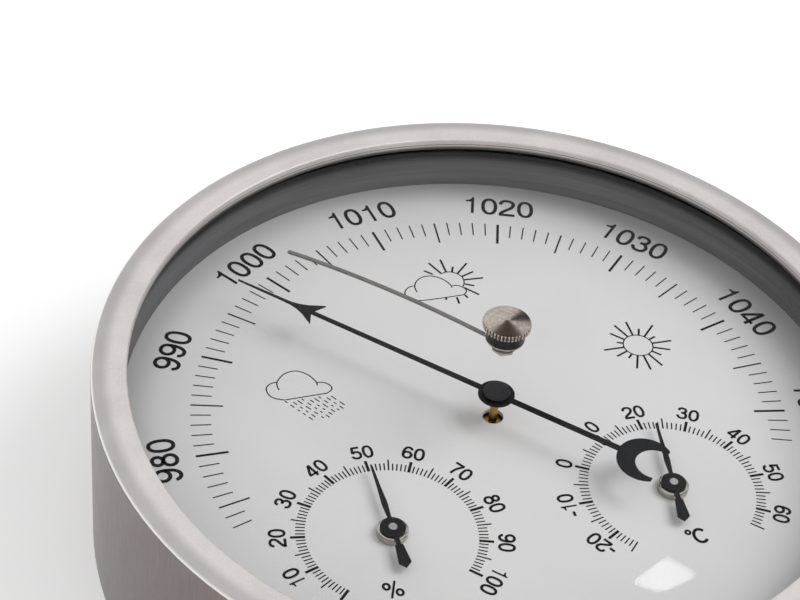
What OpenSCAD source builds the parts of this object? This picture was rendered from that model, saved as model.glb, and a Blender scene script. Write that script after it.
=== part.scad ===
// Wall weather station: a barometer with a hygrometer and a thermometer on one dial,
// behind a domed window. Millimetres. It lies on its back, with +Z out of the dial and
// +Y towards twelve o'clock. Turning angles count anticlockwise from twelve o'clock.

/* [Case] */
// Outside diameter of the steel case
case_d = 132; // [128:1:150]
// Depth of the case, from its rear rim to the face of the bezel
case_h = 36; // [34:0.5:44]
// Thickness of the steel sheet
sheet_t = 0.8; // [0.6:0.1:1]
// Width of the flat ring of the bezel
bezel_w = 5.8; // [5:0.1:7]
// Height of the hem folded down along the inner edge of the bezel
hem_h = 2.1; // [1.6:0.1:2.6]
// Radius of the outer corner of the bezel
corner_r = 1; // [0.5:0.1:1.5]
// Radius of the rounded inner edge of the bezel
lip_r = 0.35; // [0.2:0.05:0.4]
// Depth of the dial's face below the face of the bezel
dial_drop = 11.3; // [10.5:0.1:11.6]
// Wall of the dark ring between dial and window
spacer_w = 3.6; // [2.5:0.1:4]
// Wall of the carrier ring behind the dial
carrier_w = 2.8; // [2:0.1:3.4]
// Thickness of the dial plate
dial_t = 0.7; // [0.5:0.1:1]
// Clearance around the parts that drop into the case
seat_gap = 0.2; // [0.1:0.05:0.3]

/* [Rear cover] */
// Thickness of the rear cover
cover_t = 2; // [1.8:0.1:2.4]
// Depth of the rear cover behind the rear rim
cover_inset = 0.5; // [0.3:0.1:0.7]
// Distance of the cover screws from the cover's edge
cover_screw_inset = 4.7; // [4.4:0.1:5]
// Radius of the cover screws' shanks
cover_screw_r = 1.2; // [1:0.1:1.3]
// Length of the cover screws
cover_screw_len = 5.5; // [5:0.5:8]
// Width of the cross cut into the screws' heads
cover_slot_w = 0.6; // [0.4:0.1:0.8]
// Depth of that cross
cover_slot_h = 0.5; // [0.3:0.1:0.7]
// Width of a case lug at its foot, as an angle
lug_angle = 9; // [7:1:11]
// Height of a case lug
lug_h = 8; // [6:1:12]
// Reach of a case lug from the case wall
lug_reach = 8.6; // [7.6:0.2:10]
// Thickness of a case lug
lug_t = 1; // [0.8:0.1:1.4]
// Radius of the round entry of the wall hanger
hanger_r = 4.5; // [4:0.1:5]
// Width of the slot of the wall hanger
hanger_slot_w = 4; // [3.4:0.1:4]
// Travel of the wall screw along the hanger slot
hanger_slot_len = 8; // [6:0.5:9]
// Height of the hanger entry above the middle of the cover
hanger_y = 42; // [38:1:44]
// Width of a vent slot
vent_w = 2; // [1.4:0.2:2.6]
// Pitch of the vent slots
vent_pitch = 4; // [3.6:0.2:5]
// Vent slots behind each small dial
vent_count = 5; // [3:1:5]
// Radius of the round field of vent slots
vent_field_r = 10.5; // [9:0.5:11]
// Wall of the low collar round a field of vent slots
vent_collar_w = 1.2; // [1:0.1:1.6]
// Height of that collar
vent_collar_h = 1; // [0.6:0.1:1.6]

/* [Window] */
// Radius of curvature of the domed window
window_curve_r = 216; // [200:2:260]
// Thickness of the window
window_t = 1; // [1:0.1:2]
// Gap between the window and what holds its edge
window_gap = 0.05; // [0.02:0.01:0.1]

/* [Set knob and set hand] */
// Radius of the knurled head
knob_r = 3.95; // [3.6:0.05:4.6]
// Height of the knurled rim
knob_rim_h = 1.1; // [1:0.05:1.8]
// Height of the knob above the window
knob_h = 3.9; // [3.4:0.1:5]
// Rise of the turned cone on the head
knob_cone_h = 0.3; // [0:0.05:0.6]
// Radius of the collar under the head
collar_r = 3.1; // [2.7:0.05:3.3]
// Radius of the knob's stud
stud_r = 1.25; // [1:0.05:1.4]
// Grooves of the knurl
knurl_count = 40; // [24:2:44]
// Thickness of the washer under the collar
knob_washer_t = 0.3; // [0.2:0.05:0.5]
// Wall of the bush in the window's hole
bush_w = 0.5; // [0.4:0.05:0.9]
// Thickness of the fibre washer on the set hand
friction_washer_t = 0.15; // [0.15:0.05:0.4]
// Length of the set hand
set_hand_len = 43.4; // [36:0.2:48]
// Width of the set hand
set_hand_w = 0.65; // [0.5:0.05:1]
// Thickness of the set hand
set_hand_t = 0.35; // [0.25:0.05:0.5]
// Width of the set hand's nut across its flats
set_nut_w = 3.4; // [3.2:0.1:4.4]
// Height of the set hand's nut
set_nut_h = 0.7; // [0.6:0.1:1.4]
// Angle of the set hand
set_angle = 38.9; // [-180:1:180]

/* [Barometer pointer] */
// Height of the top of the pointer above the dial
pointer_h = 5.3; // [4.8:0.1:6.5]
// Thickness of the pointers
pointer_t = 0.3; // [0.2:0.05:0.4]
// Reach of the barometer pointer
pointer_len = 50.1; // [44:0.1:54]
// Radius from the axis to the tips of the arrow's barbs
barb_r = 34.15; // [30:0.05:36]
// Half width across the barbs
barb_half_w = 2.6; // [1.8:0.1:3]
// Radius from the axis to the middle of the crescent
crescent_r = 27; // [24:0.1:29]
// Outer radius of the crescent
crescent_out_r = 4.67; // [4.4:0.01:5]
// Inner radius of the crescent
crescent_in_r = 3.27; // [3:0.01:3.5]
// Shift of the crescent's inner circle towards its open side
crescent_shift = 1.8; // [1.6:0.05:2]
// Distance from the crescent's middle to the cut ends of its horns
crescent_horn = 2.7; // [2.2:0.05:2.9]
// Radius of the pointer's hub disc
pointer_hub_r = 3.05; // [2.6:0.05:3.4]
// Radius of the pointer's cap
cap_r = 2.28; // [2:0.02:2.4]
// Height of the pointer's cap
cap_h = 0.6; // [0.4:0.05:0.8]
// Radius of the brass pipe under the pointer
pipe_r = 0.72; // [0.65:0.01:0.85]
// Angle of the barometer pointer
pointer_angle = 44.7; // [-106:0.1:106]
// Radius of the hole in the middle of the dial
dial_hole_r = 1.75; // [1.6:0.05:2]

/* [Small dials] */
// Distance of each small dial from the middle line
sub_x = 23.6; // [23.2:0.1:26]
// Distance of the small dials below the middle
sub_y = 21.7; // [20:0.1:24]
// Radius of the nickel bush
sub_bush_r = 2.55; // [2.4:0.05:2.8]
// Height of the nickel bush above the dial
sub_bush_h = 1.25; // [1:0.05:1.6]
// Radius of the bush's shank
sub_shank_r = 1.7; // [1.5:0.05:1.9]
// Radius of a small pointer's staff
sub_staff_r = 0.6; // [0.5:0.05:0.7]
// Reach of a small pointer
sub_pointer_len = 13.4; // [11:0.1:15]
// Reach of a small pointer's tail
sub_tail_len = 8.3; // [7.9:0.1:9]
// Radius of a small pointer's hub disc
sub_hub_r = 2.05; // [1.9:0.05:2.2]
// Radius of the rivet on a small pointer
sub_rivet_r = 0.72; // [0.65:0.01:0.9]
// Height of that rivet above the pointer
sub_rivet_h = 0.25; // [0.15:0.05:0.4]
// Radius of a cup behind a small dial
cup_r = 11; // [10.5:0.1:11.5]
// Depth of a cup
cup_h = 8; // [7:0.2:9]
// Wall of a cup
cup_t = 0.6; // [0.4:0.05:0.8]
// Turns of a coil
coil_turns = 4; // [3:1:5]
// Thickness of a coil's strip
coil_t = 0.35; // [0.2:0.05:0.5]
// Height of a coil's strip
coil_h = 3.5; // [2.5:0.1:4]
// Radius of a coil's collet
collet_r = 1.8; // [1.6:0.05:2]
// Width of the bridge across a cup
bridge_w = 3.4; // [2.8:0.1:4]
// Thickness of that bridge
bridge_t = 0.7; // [0.5:0.05:0.9]
// Angle of the hygrometer pointer
hygrometer_angle = -1; // [-130:1:130]
// Angle of the thermometer pointer
thermometer_angle = -9; // [-130:1:130]

/* [Movement plates] */
// Thickness of the movement plates
plate_t = 1; // [0.8:0.05:1.2]
// Gap between the upper plate and the dial
upper_gap = 1; // [0.9:0.05:1.4]
// Gap between the upper and the lower plate
works_gap = 4.4; // [4.3:0.05:4.8]
// Gap between the rear cover and the base plate
base_clear = 0.9; // [0.8:0.05:1.2]
// Radius of the middle of the base plate
base_hub_r = 8; // [6:0.5:9]
// Radius of the middle of the two upper plates
plate_hub_r = 5.2; // [5:0.1:6]
// Radius of the pillars
pillar_r = 2.2; // [1.9:0.05:2.3]
// Radius of the long movement screws
long_screw_r = 1; // [0.8:0.05:1.1]
// Radius of the heads of these screws
long_head_r = 1.9; // [1.6:0.05:2.1]
// Height of the heads of these screws
long_head_h = 0.6; // [0.5:0.05:0.65]
// Width of the plates' arms
arm_w = 4.4; // [4:0.1:5]
// Running clearance of the pivots, on the radius
pivot_gap = 0.05; // [0.03:0.01:0.08]

/* [Sector and pinion] */
// Module of the teeth
tooth_module = 0.35; // [0.34:0.01:0.36]
// Teeth of the pinion
pinion_teeth = 12; // [12:1:14]
// Teeth that the sector's circle would hold
sector_circle_teeth = 120; // [118:1:122]
// Sector teeth to each side of its middle tooth
sector_half_teeth = 6; // [6:1:7]
// Thickness of the sector
sector_t = 0.8; // [0.6:0.05:0.9]
// Height of the pinion
pinion_h = 2.4; // [2:0.1:2.5]
// Length of the sector's tail, from its staff to its pin
tail_len = 4; // [3.8:0.05:4.2]
// Radius of the sector's pin
tail_pin_r = 0.5; // [0.4:0.02:0.55]
// Turns of the hairspring
hairspring_turns = 4; // [3:1:5]
// Thickness of the hairspring
hairspring_t = 0.12; // [0.08:0.01:0.16]
// Radius of the hairspring at its stud
hairspring_r = 4.2; // [4:0.1:4.5]

/* [Rocking shaft and capsule] */
// Depth of the rocking shaft's axis below the lower plate
rocker_drop = 2.5; // [2.4:0.05:2.7]
// Radius of the rocking shaft
rocker_r = 0.8; // [0.7:0.05:0.9]
// Length of the lever from the rocking shaft to the capsule's boss
lever_len = 3.2; // [3:0.1:3.4]
// Play of the sector's pin in the fork, on each side
fork_gap = 0.15; // [0.12:0.01:0.2]
// Height of the capsule's middle above the middle of the dial
capsule_y = 8; // [7.6:0.1:8.2]
// Radius of the capsule
capsule_r = 19; // [17:0.5:19]
// Height of one diaphragm, from rim to middle
diaphragm_h = 1.7; // [1.5:0.05:1.9]
// Thickness of a diaphragm
diaphragm_t = 0.3; // [0.2:0.05:0.35]
// Depth of the corrugations
wave_h = 0.32; // [0.2:0.02:0.36]
// Corrugations of a diaphragm
wave_count = 4; // [3:1:5]
// Height of the boss on the capsule
boss_h = 2; // [1.8:0.05:2.4]
// Radius of the boss's foot
boss_foot_r = 2.4; // [2:0.1:2.8]
// Radius of the flange that carries the capsule
post_flange_r = 2.8; // [2.4:0.1:2.9]
// Thickness of that flange
post_flange_t = 0.3; // [0.2:0.02:0.32]

/* [Hidden] */

$fn = 96;
fine_fn = 300;
nick = 0.01;
through = 60;

// Case and window levels
case_r = case_d / 2;
bore_r = case_r - sheet_t;
bezel_r = case_r - bezel_w;
hem_t = 0.9;
hem_z = case_h - hem_h;
dial_z = case_h - dial_drop;
dial_back = dial_z - dial_t;
cover_top = cover_inset + cover_t;
drop_in_r = bore_r - seat_gap;
cover_screw_pitch_r = drop_in_r - cover_screw_inset;
edge_sag = window_curve_r - sqrt(pow(window_curve_r, 2) - pow(bezel_r, 2));
window_top = hem_z - window_gap + edge_sag;
window_centre_z = window_top - window_curve_r;
window_under = window_top - window_t;
lug_corners = [45, 135, 225, 315];

// Set hand levels, all hung from the window
stud_gap = 0.03;
knob_top = window_top + knob_h;
hand_gap = 0.05;
hand_top = window_under - hand_gap - friction_washer_t - hand_gap;
hand_hub_r = 2.1;
hand_curve_r = window_curve_r - (window_top - hand_top);
nut_top = hand_top - set_hand_t - hand_gap;

// Barometer pointer levels
pointer_top = dial_z + pointer_h;
pointer_under = pointer_top - pointer_t;
shaft_half_w = 0.5;
neck_half_w = 0.36;
needle_half_w = 0.21;

// Small dials
sub_pointer_top = dial_z + sub_bush_h + 0.35;
sub_places = [[-sub_x, -sub_y], [sub_x, -sub_y]];
cup_floor_t = cup_t;
cup_rear = dial_back - cup_h;
coil_z = cup_rear + 2;
coil_out_r = cup_r - cup_t - 1.4;
bridge_pin_r = 0.6;
bridge_pin_at = cup_r - cup_t - 1;
ear_plate_t = 1;

// Movement levels, all hung from the dial
upper_top = dial_back - upper_gap;
upper_under = upper_top - plate_t;
lower_top = upper_under - works_gap;
lower_under = lower_top - plate_t;
base_under = cover_top + base_clear;
base_top = base_under + plate_t;
base_gap = lower_under - base_top;
pillar_places = [[-25, 14], [19, 20], [6, -16]];
screw_bore_r = long_screw_r + 0.05;
hub_rim = 0.7;

// Gear train
pressure_angle = 20;
addendum = 0.7 * tooth_module;
dedendum = 1.1 * tooth_module;
flank_gap = 0.025;
pinion_pitch_r = tooth_module * pinion_teeth / 2;
sector_pitch_r = tooth_module * sector_circle_teeth / 2;
staff_y = pinion_pitch_r + sector_pitch_r;
gear_ratio = pinion_teeth / sector_circle_teeth;
sector_angle = -pointer_angle * gear_ratio;
pinion_z = lower_top + 0.5;
sector_z = pinion_z + 0.8;
arbor_r = 0.6;
arbor_pivot_r = 0.42;
staff_r = 1;
staff_pivot_r = 0.5;
collet_z = pinion_z + pinion_h + 0.35;
hairspring_h = 0.5;
bush_top = dial_back - 0.4;

// Rocking shaft, fork, lever and capsule
rocker_z = lower_under - rocker_drop;
fork_y = staff_y + tail_len;
fork_t = 1.2;
fork_half_w = 1.6;
fork_top = sector_z - 0.5;
pin_low = fork_top - 0.7;
fork_arm = (fork_top + pin_low) / 2 - rocker_z;
rocker_angle = asin(tail_len * sin(-sector_angle) / fork_arm);
lever_rise = lever_len * sin(rocker_angle);
lever_half_t = 0.5;
lever_w = 2;
ear_y = [capsule_y + 2.6, staff_y + 0.2];
ear_t = 0.8;
ear_r = 1.6;
bracket_half_w = 3;
bracket_t = 0.8;
capsule_x = -lever_len;
boss_gap = 0.05;
boss_ball_r = 1.2;
boss_top = rocker_z - lever_half_t / cos(rocker_angle) + lever_rise - boss_gap;
capsule_front = boss_top - boss_h;
rim_z = capsule_front - nick - diaphragm_h;
capsule_rear = rim_z - nick - diaphragm_h;
middle_r = 3;
rim_w = 1.2;
post_r = 1.5;

// Places and turns a small dial's part
module at_small_dial(i, turn = 0) {
    translate([sub_places[i].x, sub_places[i].y, 0]) rotate([0, 0, turn]) children();
}

// A flat arm with square ends, from one point to another
module arm(from, to, width, z, height) {
    span = to - from;
    translate([from.x, from.y, z]) rotate([0, 0, atan2(span.y, span.x)])
        translate([0, -width / 2, 0]) cube([norm(span), width, height]);
}

// The same with round ends
module bar(from, to, width, z, height) {
    arm(from, to, width, z, height);
    for (end = [from, to]) translate([end.x, end.y, z]) cylinder(r = width / 2, h = height);
}

module ring(out_r, in_r, z, height) {
    translate([0, 0, z]) difference() {
        cylinder(r = out_r, h = height);
        translate([0, 0, -nick]) cylinder(r = in_r, h = height + 2 * nick);
    }
}

module hole(r, z = -through, height = 2 * through) {
    translate([0, 0, z]) cylinder(r = r, h = height);
}

// The ball that a surface of the dome belongs to, lowered by the given depth
module dome_ball(depth) {
    translate([0, 0, window_centre_z]) sphere(r = window_curve_r - depth, $fn = fine_fn);
}

function arc(r, from, to, steps, centre = [0, 0]) =
    [for (i = [0:steps]) let (a = from + (to - from) * i / steps)
        centre + r * [cos(a), sin(a)]];

// Flat spiral strip with a constant pitch
function spiral_side(r0, r1, turns, steps, shift) =
    [for (i = [0:steps]) let (a = 360 * turns * i / steps, r = r0 + (r1 - r0) * i / steps + shift)
        r * [cos(a), sin(a)]];
function reversed(list) = [for (i = [len(list) - 1:-1:0]) list[i]];

module spiral_strip(r0, r1, turns, strip_t, height) {
    steps = 30 * turns;
    linear_extrude(height) polygon(concat(
        spiral_side(r0, r1, turns, steps, -strip_t / 2),
        reversed(spiral_side(r0, r1, turns, steps, strip_t / 2))));
}

// Involute teeth: half the tooth's angle at a radius, and the outline of one tooth
function involute(a) = tan(a) * 180 / PI - a;
function tooth_half(r, pitch_r, teeth) =
    let (base_r = pitch_r * cos(pressure_angle))
    90 / teeth - flank_gap / pitch_r * 180 / PI + involute(pressure_angle)
    - involute(r > base_r ? acos(base_r / r) : 0);
function tooth(middle, pitch_r, teeth) =
    let (root_r = pitch_r - dedendum, tip_r = pitch_r + addendum,
         start_r = max(root_r, pitch_r * cos(pressure_angle)),
         radii = [root_r, for (i = [0:4]) start_r + (tip_r - start_r) * i / 4])
    concat(
        [for (r = radii) let (a = middle - tooth_half(r, pitch_r, teeth)) r * [cos(a), sin(a)]],
        [for (r = reversed(radii)) let (a = middle + tooth_half(r, pitch_r, teeth))
            r * [cos(a), sin(a)]]);

module case_shell() color("silver") {
    lip_in = bezel_r + lip_r;
    rotate_extrude($fn = fine_fn) polygon(concat(
        [[bore_r, 0], [case_r, 0]],
        arc(corner_r, 0, 90, 8, [case_r - corner_r, case_h - corner_r]),
        arc(lip_r, 90, 180, 5, [lip_in, case_h - lip_r]),
        [[bezel_r, hem_z], [bezel_r + hem_t, hem_z],
         [bezel_r + hem_t, case_h - sheet_t], [bore_r, case_h - sheet_t]]));
}

// Four bent lugs, spot-welded to the inside of the wall, that take the cover's screws
module case_lugs() color("silver") for (corner = lug_corners) difference() {
    rotate([0, 0, corner - lug_angle / 2]) rotate_extrude(angle = lug_angle)
        polygon([[bore_r - lug_reach, cover_top], [bore_r - nick, cover_top],
                 [bore_r - nick, cover_top + lug_h], [bore_r - lug_t, cover_top + lug_h],
                 [bore_r - lug_t, cover_top + lug_t], [bore_r - lug_reach, cover_top + lug_t]]);
    rotate([0, 0, corner]) translate([cover_screw_pitch_r, 0, 0]) hole(cover_screw_r + 0.05);
}

module window_gasket() color("dimgray") difference() {
    ring(drop_in_r, bezel_r + hem_t + seat_gap, hem_z - 2, case_h - sheet_t - seat_gap - hem_z + 2);
    dome_ball(-window_gap);
}

module window_glass() color("lightcyan", 0.4) difference() {
    intersection() {
        dome_ball(0);
        translate([0, 0, dial_z]) cylinder(r = drop_in_r - seat_gap, h = through, $fn = fine_fn);
    }
    dome_ball(window_t);
    hole(stud_r + stud_gap + bush_w + stud_gap);
}

module spacer_ring() color("dimgray") intersection() {
    ring(drop_in_r, drop_in_r - spacer_w, dial_z, case_h - dial_z);
    dome_ball(window_t + window_gap);
}

module dial_plate() color("whitesmoke") difference() {
    ring(drop_in_r, dial_hole_r, dial_back, dial_t);
    for (i = [0, 1]) at_small_dial(i) hole(sub_shank_r + stud_gap);
}

module carrier_ring() color("dimgray") difference() {
    ring(drop_in_r, drop_in_r - carrier_w, cover_top, dial_back - cover_top);
    for (corner = lug_corners) rotate([0, 0, corner - lug_angle / 2 - 1])
        rotate_extrude(angle = lug_angle + 2)
            translate([drop_in_r - carrier_w - 1, cover_top - 1])
                square([carrier_w + 2, lug_h + 1 + seat_gap]);
}

module vent_field() {
    middle = (vent_count - 1) / 2;
    for (i = [0:vent_count - 1]) {
        x = (i - middle) * vent_pitch;
        half = sqrt(pow(vent_field_r, 2) - pow(x, 2)) - vent_w / 2;
        bar([x, -half], [x, half], vent_w, 0, cover_top + 1);
    }
}

module rear_cover() color("dimgray") difference() {
    union() {
        translate([0, 0, cover_inset]) cylinder(r = drop_in_r, h = cover_t, $fn = fine_fn);
        for (i = [0, 1]) at_small_dial(i)
            ring(vent_field_r + 2 * vent_collar_w, vent_field_r + vent_collar_w, cover_top,
                 vent_collar_h);
    }
    translate([0, hanger_y, 0]) hole(hanger_r);
    bar([0, hanger_y], [0, hanger_y + hanger_slot_len], hanger_slot_w, 0, cover_top + 1);
    translate([capsule_x, capsule_y, 0]) hole(post_r + 1);
    for (i = [0, 1]) at_small_dial(i) vent_field();
    for (corner = lug_corners) rotate([0, 0, corner]) translate([cover_screw_pitch_r, 0, 0]) {
        hole(cover_screw_r + 0.2);
        screw_head(0.1);
    }
    ring(case_r, drop_in_r - 1, 0, cover_inset + 0.3);
}

// Countersunk head, as a solid, or as its seat when grown
module screw_head(grow) {
    head_r = 2 * cover_screw_r;
    translate([0, 0, cover_inset]) cylinder(r1 = head_r + grow, r2 = cover_screw_r + grow,
                                            h = head_r - cover_screw_r);
    cylinder(r = head_r + grow, h = cover_inset);
}

module rear_cover_screws() color("silver")
    for (corner = lug_corners) rotate([0, 0, corner]) translate([cover_screw_pitch_r, 0, 0])
        difference() {
            union() {
                intersection() {
                    screw_head(0);
                    hole(case_r, cover_inset - 0.2);
                }
                hole(cover_screw_r, cover_inset, cover_screw_len);
            }
            for (turn = [0, 90]) rotate([0, 0, turn])
                translate([-1.2 * cover_screw_r, -cover_slot_w / 2, 0])
                    cube([2.4 * cover_screw_r, cover_slot_w, cover_inset + cover_slot_h]);
        }

module set_knob() color("lightgray") {
    seat = window_top + knob_washer_t;
    rim_z = knob_top - knob_cone_h - knob_rim_h;
    difference() {
        union() {
            rotate_extrude() polygon([
                [0, nut_top - set_nut_h], [stud_r, nut_top - set_nut_h], [stud_r, seat],
                [collar_r, seat], [collar_r, rim_z - 0.4], [collar_r - 0.3, rim_z],
                [knob_r - 0.2, rim_z], [knob_r, rim_z + 0.2], [knob_r, rim_z + knob_rim_h - 0.2],
                [knob_r - 0.2, rim_z + knob_rim_h], [0, knob_top]]);
        }
        for (i = [0:knurl_count - 1]) rotate([0, 0, 360 * i / knurl_count])
            translate([knob_r + 0.03, 0, rim_z - 1]) cylinder(r = 0.24, h = knob_rim_h + 2, $fn = 24);
    }
}

module knob_washer() color("gray")
    ring(collar_r + 0.12, stud_r + stud_gap, window_top + nick, knob_washer_t - 2 * nick);

module glass_bush() color("black")
    ring(stud_r + stud_gap + bush_w, stud_r + stud_gap, window_under, window_t - nick);

module friction_washer() color("brown")
    ring(hand_hub_r - 0.1, stud_r + stud_gap, hand_top + hand_gap, friction_washer_t);

module set_hand() color("gray") difference() {
    union() {
        translate([0, 0, hand_top - set_hand_t]) cylinder(r = hand_hub_r, h = set_hand_t);
        difference() {
            intersection() {
                translate([0, 0, window_centre_z]) sphere(r = hand_curve_r, $fn = fine_fn);
                rotate([0, 0, set_angle + 90])
                    bar([0, 0], [set_hand_len - set_hand_w / 2, 0], set_hand_w, dial_z, through);
            }
            translate([0, 0, window_centre_z])
                sphere(r = hand_curve_r - set_hand_t, $fn = fine_fn);
        }
    }
    hole(stud_r + 0.02);
}

module set_hand_nut() color("goldenrod") difference() {
    translate([0, 0, nut_top - set_nut_h])
        cylinder(r = set_nut_w / sqrt(3), h = set_nut_h, $fn = 6);
    hole(stud_r + 0.02);
}

// Barometer pointer, with its tip along +X
module pointer_body() {
    side = [[0, shaft_half_w], [barb_r + 1.15, neck_half_w], [barb_r, barb_half_w],
            [barb_r + 1.25, 0.73 * barb_half_w], [barb_r + 2.6, 0.42 * barb_half_w],
            [barb_r + 4, 0.21 * barb_half_w], [barb_r + 5.4, 0.1 * barb_half_w],
            [barb_r + 7, needle_half_w], [pointer_len, 0.09]];
    linear_extrude(pointer_t) polygon(concat(side, [for (p = reversed(side)) [p.x, -p.y]]));
    cylinder(r = pointer_hub_r, h = pointer_t);
    translate([-crescent_r + crescent_out_r - 0.4, -shaft_half_w, 0])
        cube([crescent_r - crescent_out_r + 0.4, 2 * shaft_half_w, pointer_t]);
    translate([-crescent_r, 0, 0]) difference() {
        cylinder(r = crescent_out_r, h = pointer_t);
        translate([-crescent_shift, 0, -nick]) cylinder(r = crescent_in_r, h = 1);
        translate([-2 * crescent_out_r - crescent_horn, -crescent_out_r, -nick])
            cube([2 * crescent_out_r, 2 * crescent_out_r, 1]);
    }
}

module pressure_pointer() color([0.1, 0.1, 0.1]) difference() {
    translate([0, 0, pointer_under]) rotate([0, 0, pointer_angle + 90]) pointer_body();
    hole(arbor_pivot_r + 0.02);
}

module pointer_cap() color([0.08, 0.08, 0.08]) rotate_extrude() polygon(concat(
    [[0, pointer_top], [cap_r, pointer_top]],
    arc(0.25, 0, 90, 4, [cap_r - 0.25, pointer_top + cap_h - 0.25]),
    [[0, pointer_top + cap_h]]));

module pointer_pipe() color("goldenrod") difference() {
    union() {
        translate([0, 0, bush_top + 0.25])
            cylinder(r = pipe_r, h = pointer_under - bush_top - 0.25);
        translate([0, 0, pointer_under - 0.3]) cylinder(r = 2 * pipe_r, h = 0.3);
    }
    hole(arbor_pivot_r + 0.02);
}

module pointer_arbor() color("silver") rotate_extrude() polygon([
    [0, lower_under + 0.2], [arbor_pivot_r, lower_under + 0.2], [arbor_pivot_r, lower_top + 0.1],
    [arbor_r, lower_top + 0.1], [arbor_r, upper_under - 0.1], [arbor_pivot_r, upper_under - 0.1],
    [arbor_pivot_r, pointer_top - nick], [0, pointer_top - nick]]);

module arbor_pinion() color("gold") difference() {
    translate([0, 0, pinion_z]) rotate([0, 0, pointer_angle]) linear_extrude(pinion_h)
        polygon([for (i = [0:pinion_teeth - 1])
            each tooth(90 + 180 / pinion_teeth + 360 * i / pinion_teeth, pinion_pitch_r,
                       pinion_teeth)]);
    hole(arbor_r + 0.01);
}

module hairspring_collet() color("goldenrod")
    ring(1.35, arbor_r + 0.01, collet_z, hairspring_h + 0.2);

module hairspring() color("steelblue") translate([0, 0, collet_z + 0.1])
    spiral_strip(1.35 + 0.2, hairspring_r, hairspring_turns, hairspring_t, hairspring_h);

module hairspring_stud() color("goldenrod")
    translate([hairspring_r + hairspring_t / 2 + 0.02, -0.6, collet_z])
        cube([1.2, 1.2, upper_under - collet_z]);

module sector_gear() color("gold") difference() {
    edge = (sector_half_teeth + 0.8) * 360 / sector_circle_teeth;
    root_r = sector_pitch_r - dedendum;
    rim_in_r = root_r - 2.2;
    translate([0, staff_y, sector_z]) rotate([0, 0, sector_angle - 90]) linear_extrude(sector_t) {
        polygon(concat(
            [root_r * [cos(edge), -sin(edge)]],
            [for (k = [-sector_half_teeth:sector_half_teeth])
                each tooth(360 * k / sector_circle_teeth, sector_pitch_r, sector_circle_teeth)],
            [root_r * [cos(edge), sin(edge)]],
            arc(rim_in_r, edge, -edge, 12)));
        for (side = [-1, 1]) rotate([0, 0, side * edge * 0.62])
            translate([0, -0.9]) square([rim_in_r + 0.4, 1.8]);
        circle(r = 2.6);
        translate([-tail_len, -1]) square([tail_len, 2]);
        translate([-tail_len, 0]) circle(r = 1.2);
    }
    translate([0, staff_y, 0]) hole(staff_r + 0.01);
    translate([0, staff_y, 0]) rotate([0, 0, sector_angle]) translate([0, tail_len, 0])
        hole(tail_pin_r + 0.01);
}

module sector_staff() color("silver") translate([0, staff_y, 0]) rotate_extrude() polygon([
    [0, lower_under + 0.2], [staff_pivot_r, lower_under + 0.2], [staff_pivot_r, lower_top + 0.1],
    [staff_r, lower_top + 0.1], [staff_r, upper_under - 0.1], [staff_pivot_r, upper_under - 0.1],
    [staff_pivot_r, upper_top - 0.2], [0, upper_top - 0.2]]);

module sector_pin() color("silver") translate([0, staff_y, 0]) rotate([0, 0, sector_angle])
    translate([0, tail_len, pin_low]) cylinder(r = tail_pin_r, h = sector_z + sector_t - pin_low);

// Parts of the rocking shaft are drawn upright about its axis and then tilted
module rocked() {
    translate([0, 0, rocker_z]) rotate([0, rocker_angle, 0]) children();
}

module across(r, y0, y1) {
    translate([0, y0, 0]) rotate([-90, 0, 0]) cylinder(r = r, h = y1 - y0);
}

module rocker_shaft() color("silver") rocked() across(rocker_r, capsule_y - 1.6, fork_y + 1);

module rocker_fork() color("goldenrod") rocked() difference() {
    union() {
        across(fork_half_w, fork_y - fork_t / 2, fork_y + fork_t / 2);
        translate([-fork_half_w, fork_y - fork_t / 2, 0])
            cube([2 * fork_half_w, fork_t, fork_top - rocker_z]);
    }
    across(rocker_r + 0.01, fork_y - fork_t, fork_y + fork_t);
    translate([-tail_pin_r - fork_gap, fork_y - fork_t, pin_low - rocker_z - 0.6])
        cube([2 * (tail_pin_r + fork_gap), 2 * fork_t, 4]);
}

module capsule_lever() color("goldenrod") rocked() difference() {
    union() {
        across(1.5, capsule_y - lever_w / 2, capsule_y + lever_w / 2);
        translate([-lever_len - 1, capsule_y - lever_w / 2, -lever_half_t])
            cube([lever_len + 1, lever_w, 2 * lever_half_t]);
    }
    across(rocker_r + 0.01, capsule_y - lever_w, capsule_y + lever_w);
}

module rocker_bracket() color("goldenrod") difference() {
    union() {
        translate([-bracket_half_w, ear_y[0], lower_under - bracket_t])
            cube([2 * bracket_half_w, ear_y[1] + ear_t - ear_y[0], bracket_t]);
        for (y = ear_y) translate([0, 0, rocker_z]) {
            across(ear_r, y, y + ear_t);
            translate([-ear_r, y, 0]) cube([2 * ear_r, ear_t, rocker_drop - bracket_t / 2]);
        }
    }
    translate([0, 0, rocker_z]) across(rocker_r + pivot_gap, 0, fork_y);
    for (y = bracket_screw_y) translate([0, y, 0]) hole(0.75);
}
bracket_screw_y = [ear_y[0] + 3, ear_y[1] - 3];

module bracket_screws() color("silver") for (y = bracket_screw_y)
    translate([0, y, lower_under - bracket_t]) difference() {
        union() {
            cylinder(r = 0.7, h = bracket_t + plate_t);
            translate([0, 0, -0.5]) cylinder(r = 1.3, h = 0.5);
        }
        translate([-2, -0.15, -1]) cube([4, 0.3, 0.75]);
    }

// Corrugated disc: height of its outer face above the seam of the capsule, at a radius
function wave(r) =
    let (span = (r - middle_r) / (capsule_r - rim_w - middle_r), s = min(1, max(0, span)))
    diaphragm_t + (diaphragm_h - diaphragm_t) * (1 - s * s)
    + wave_h * s * (1 - s) * 4 * sin(360 * wave_count * s);
wave_steps = 48;
function wave_line(shift) = [for (i = [0:wave_steps])
    let (r = middle_r + (capsule_r - rim_w - middle_r) * i / wave_steps) [r, wave(r) + shift]];

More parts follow.
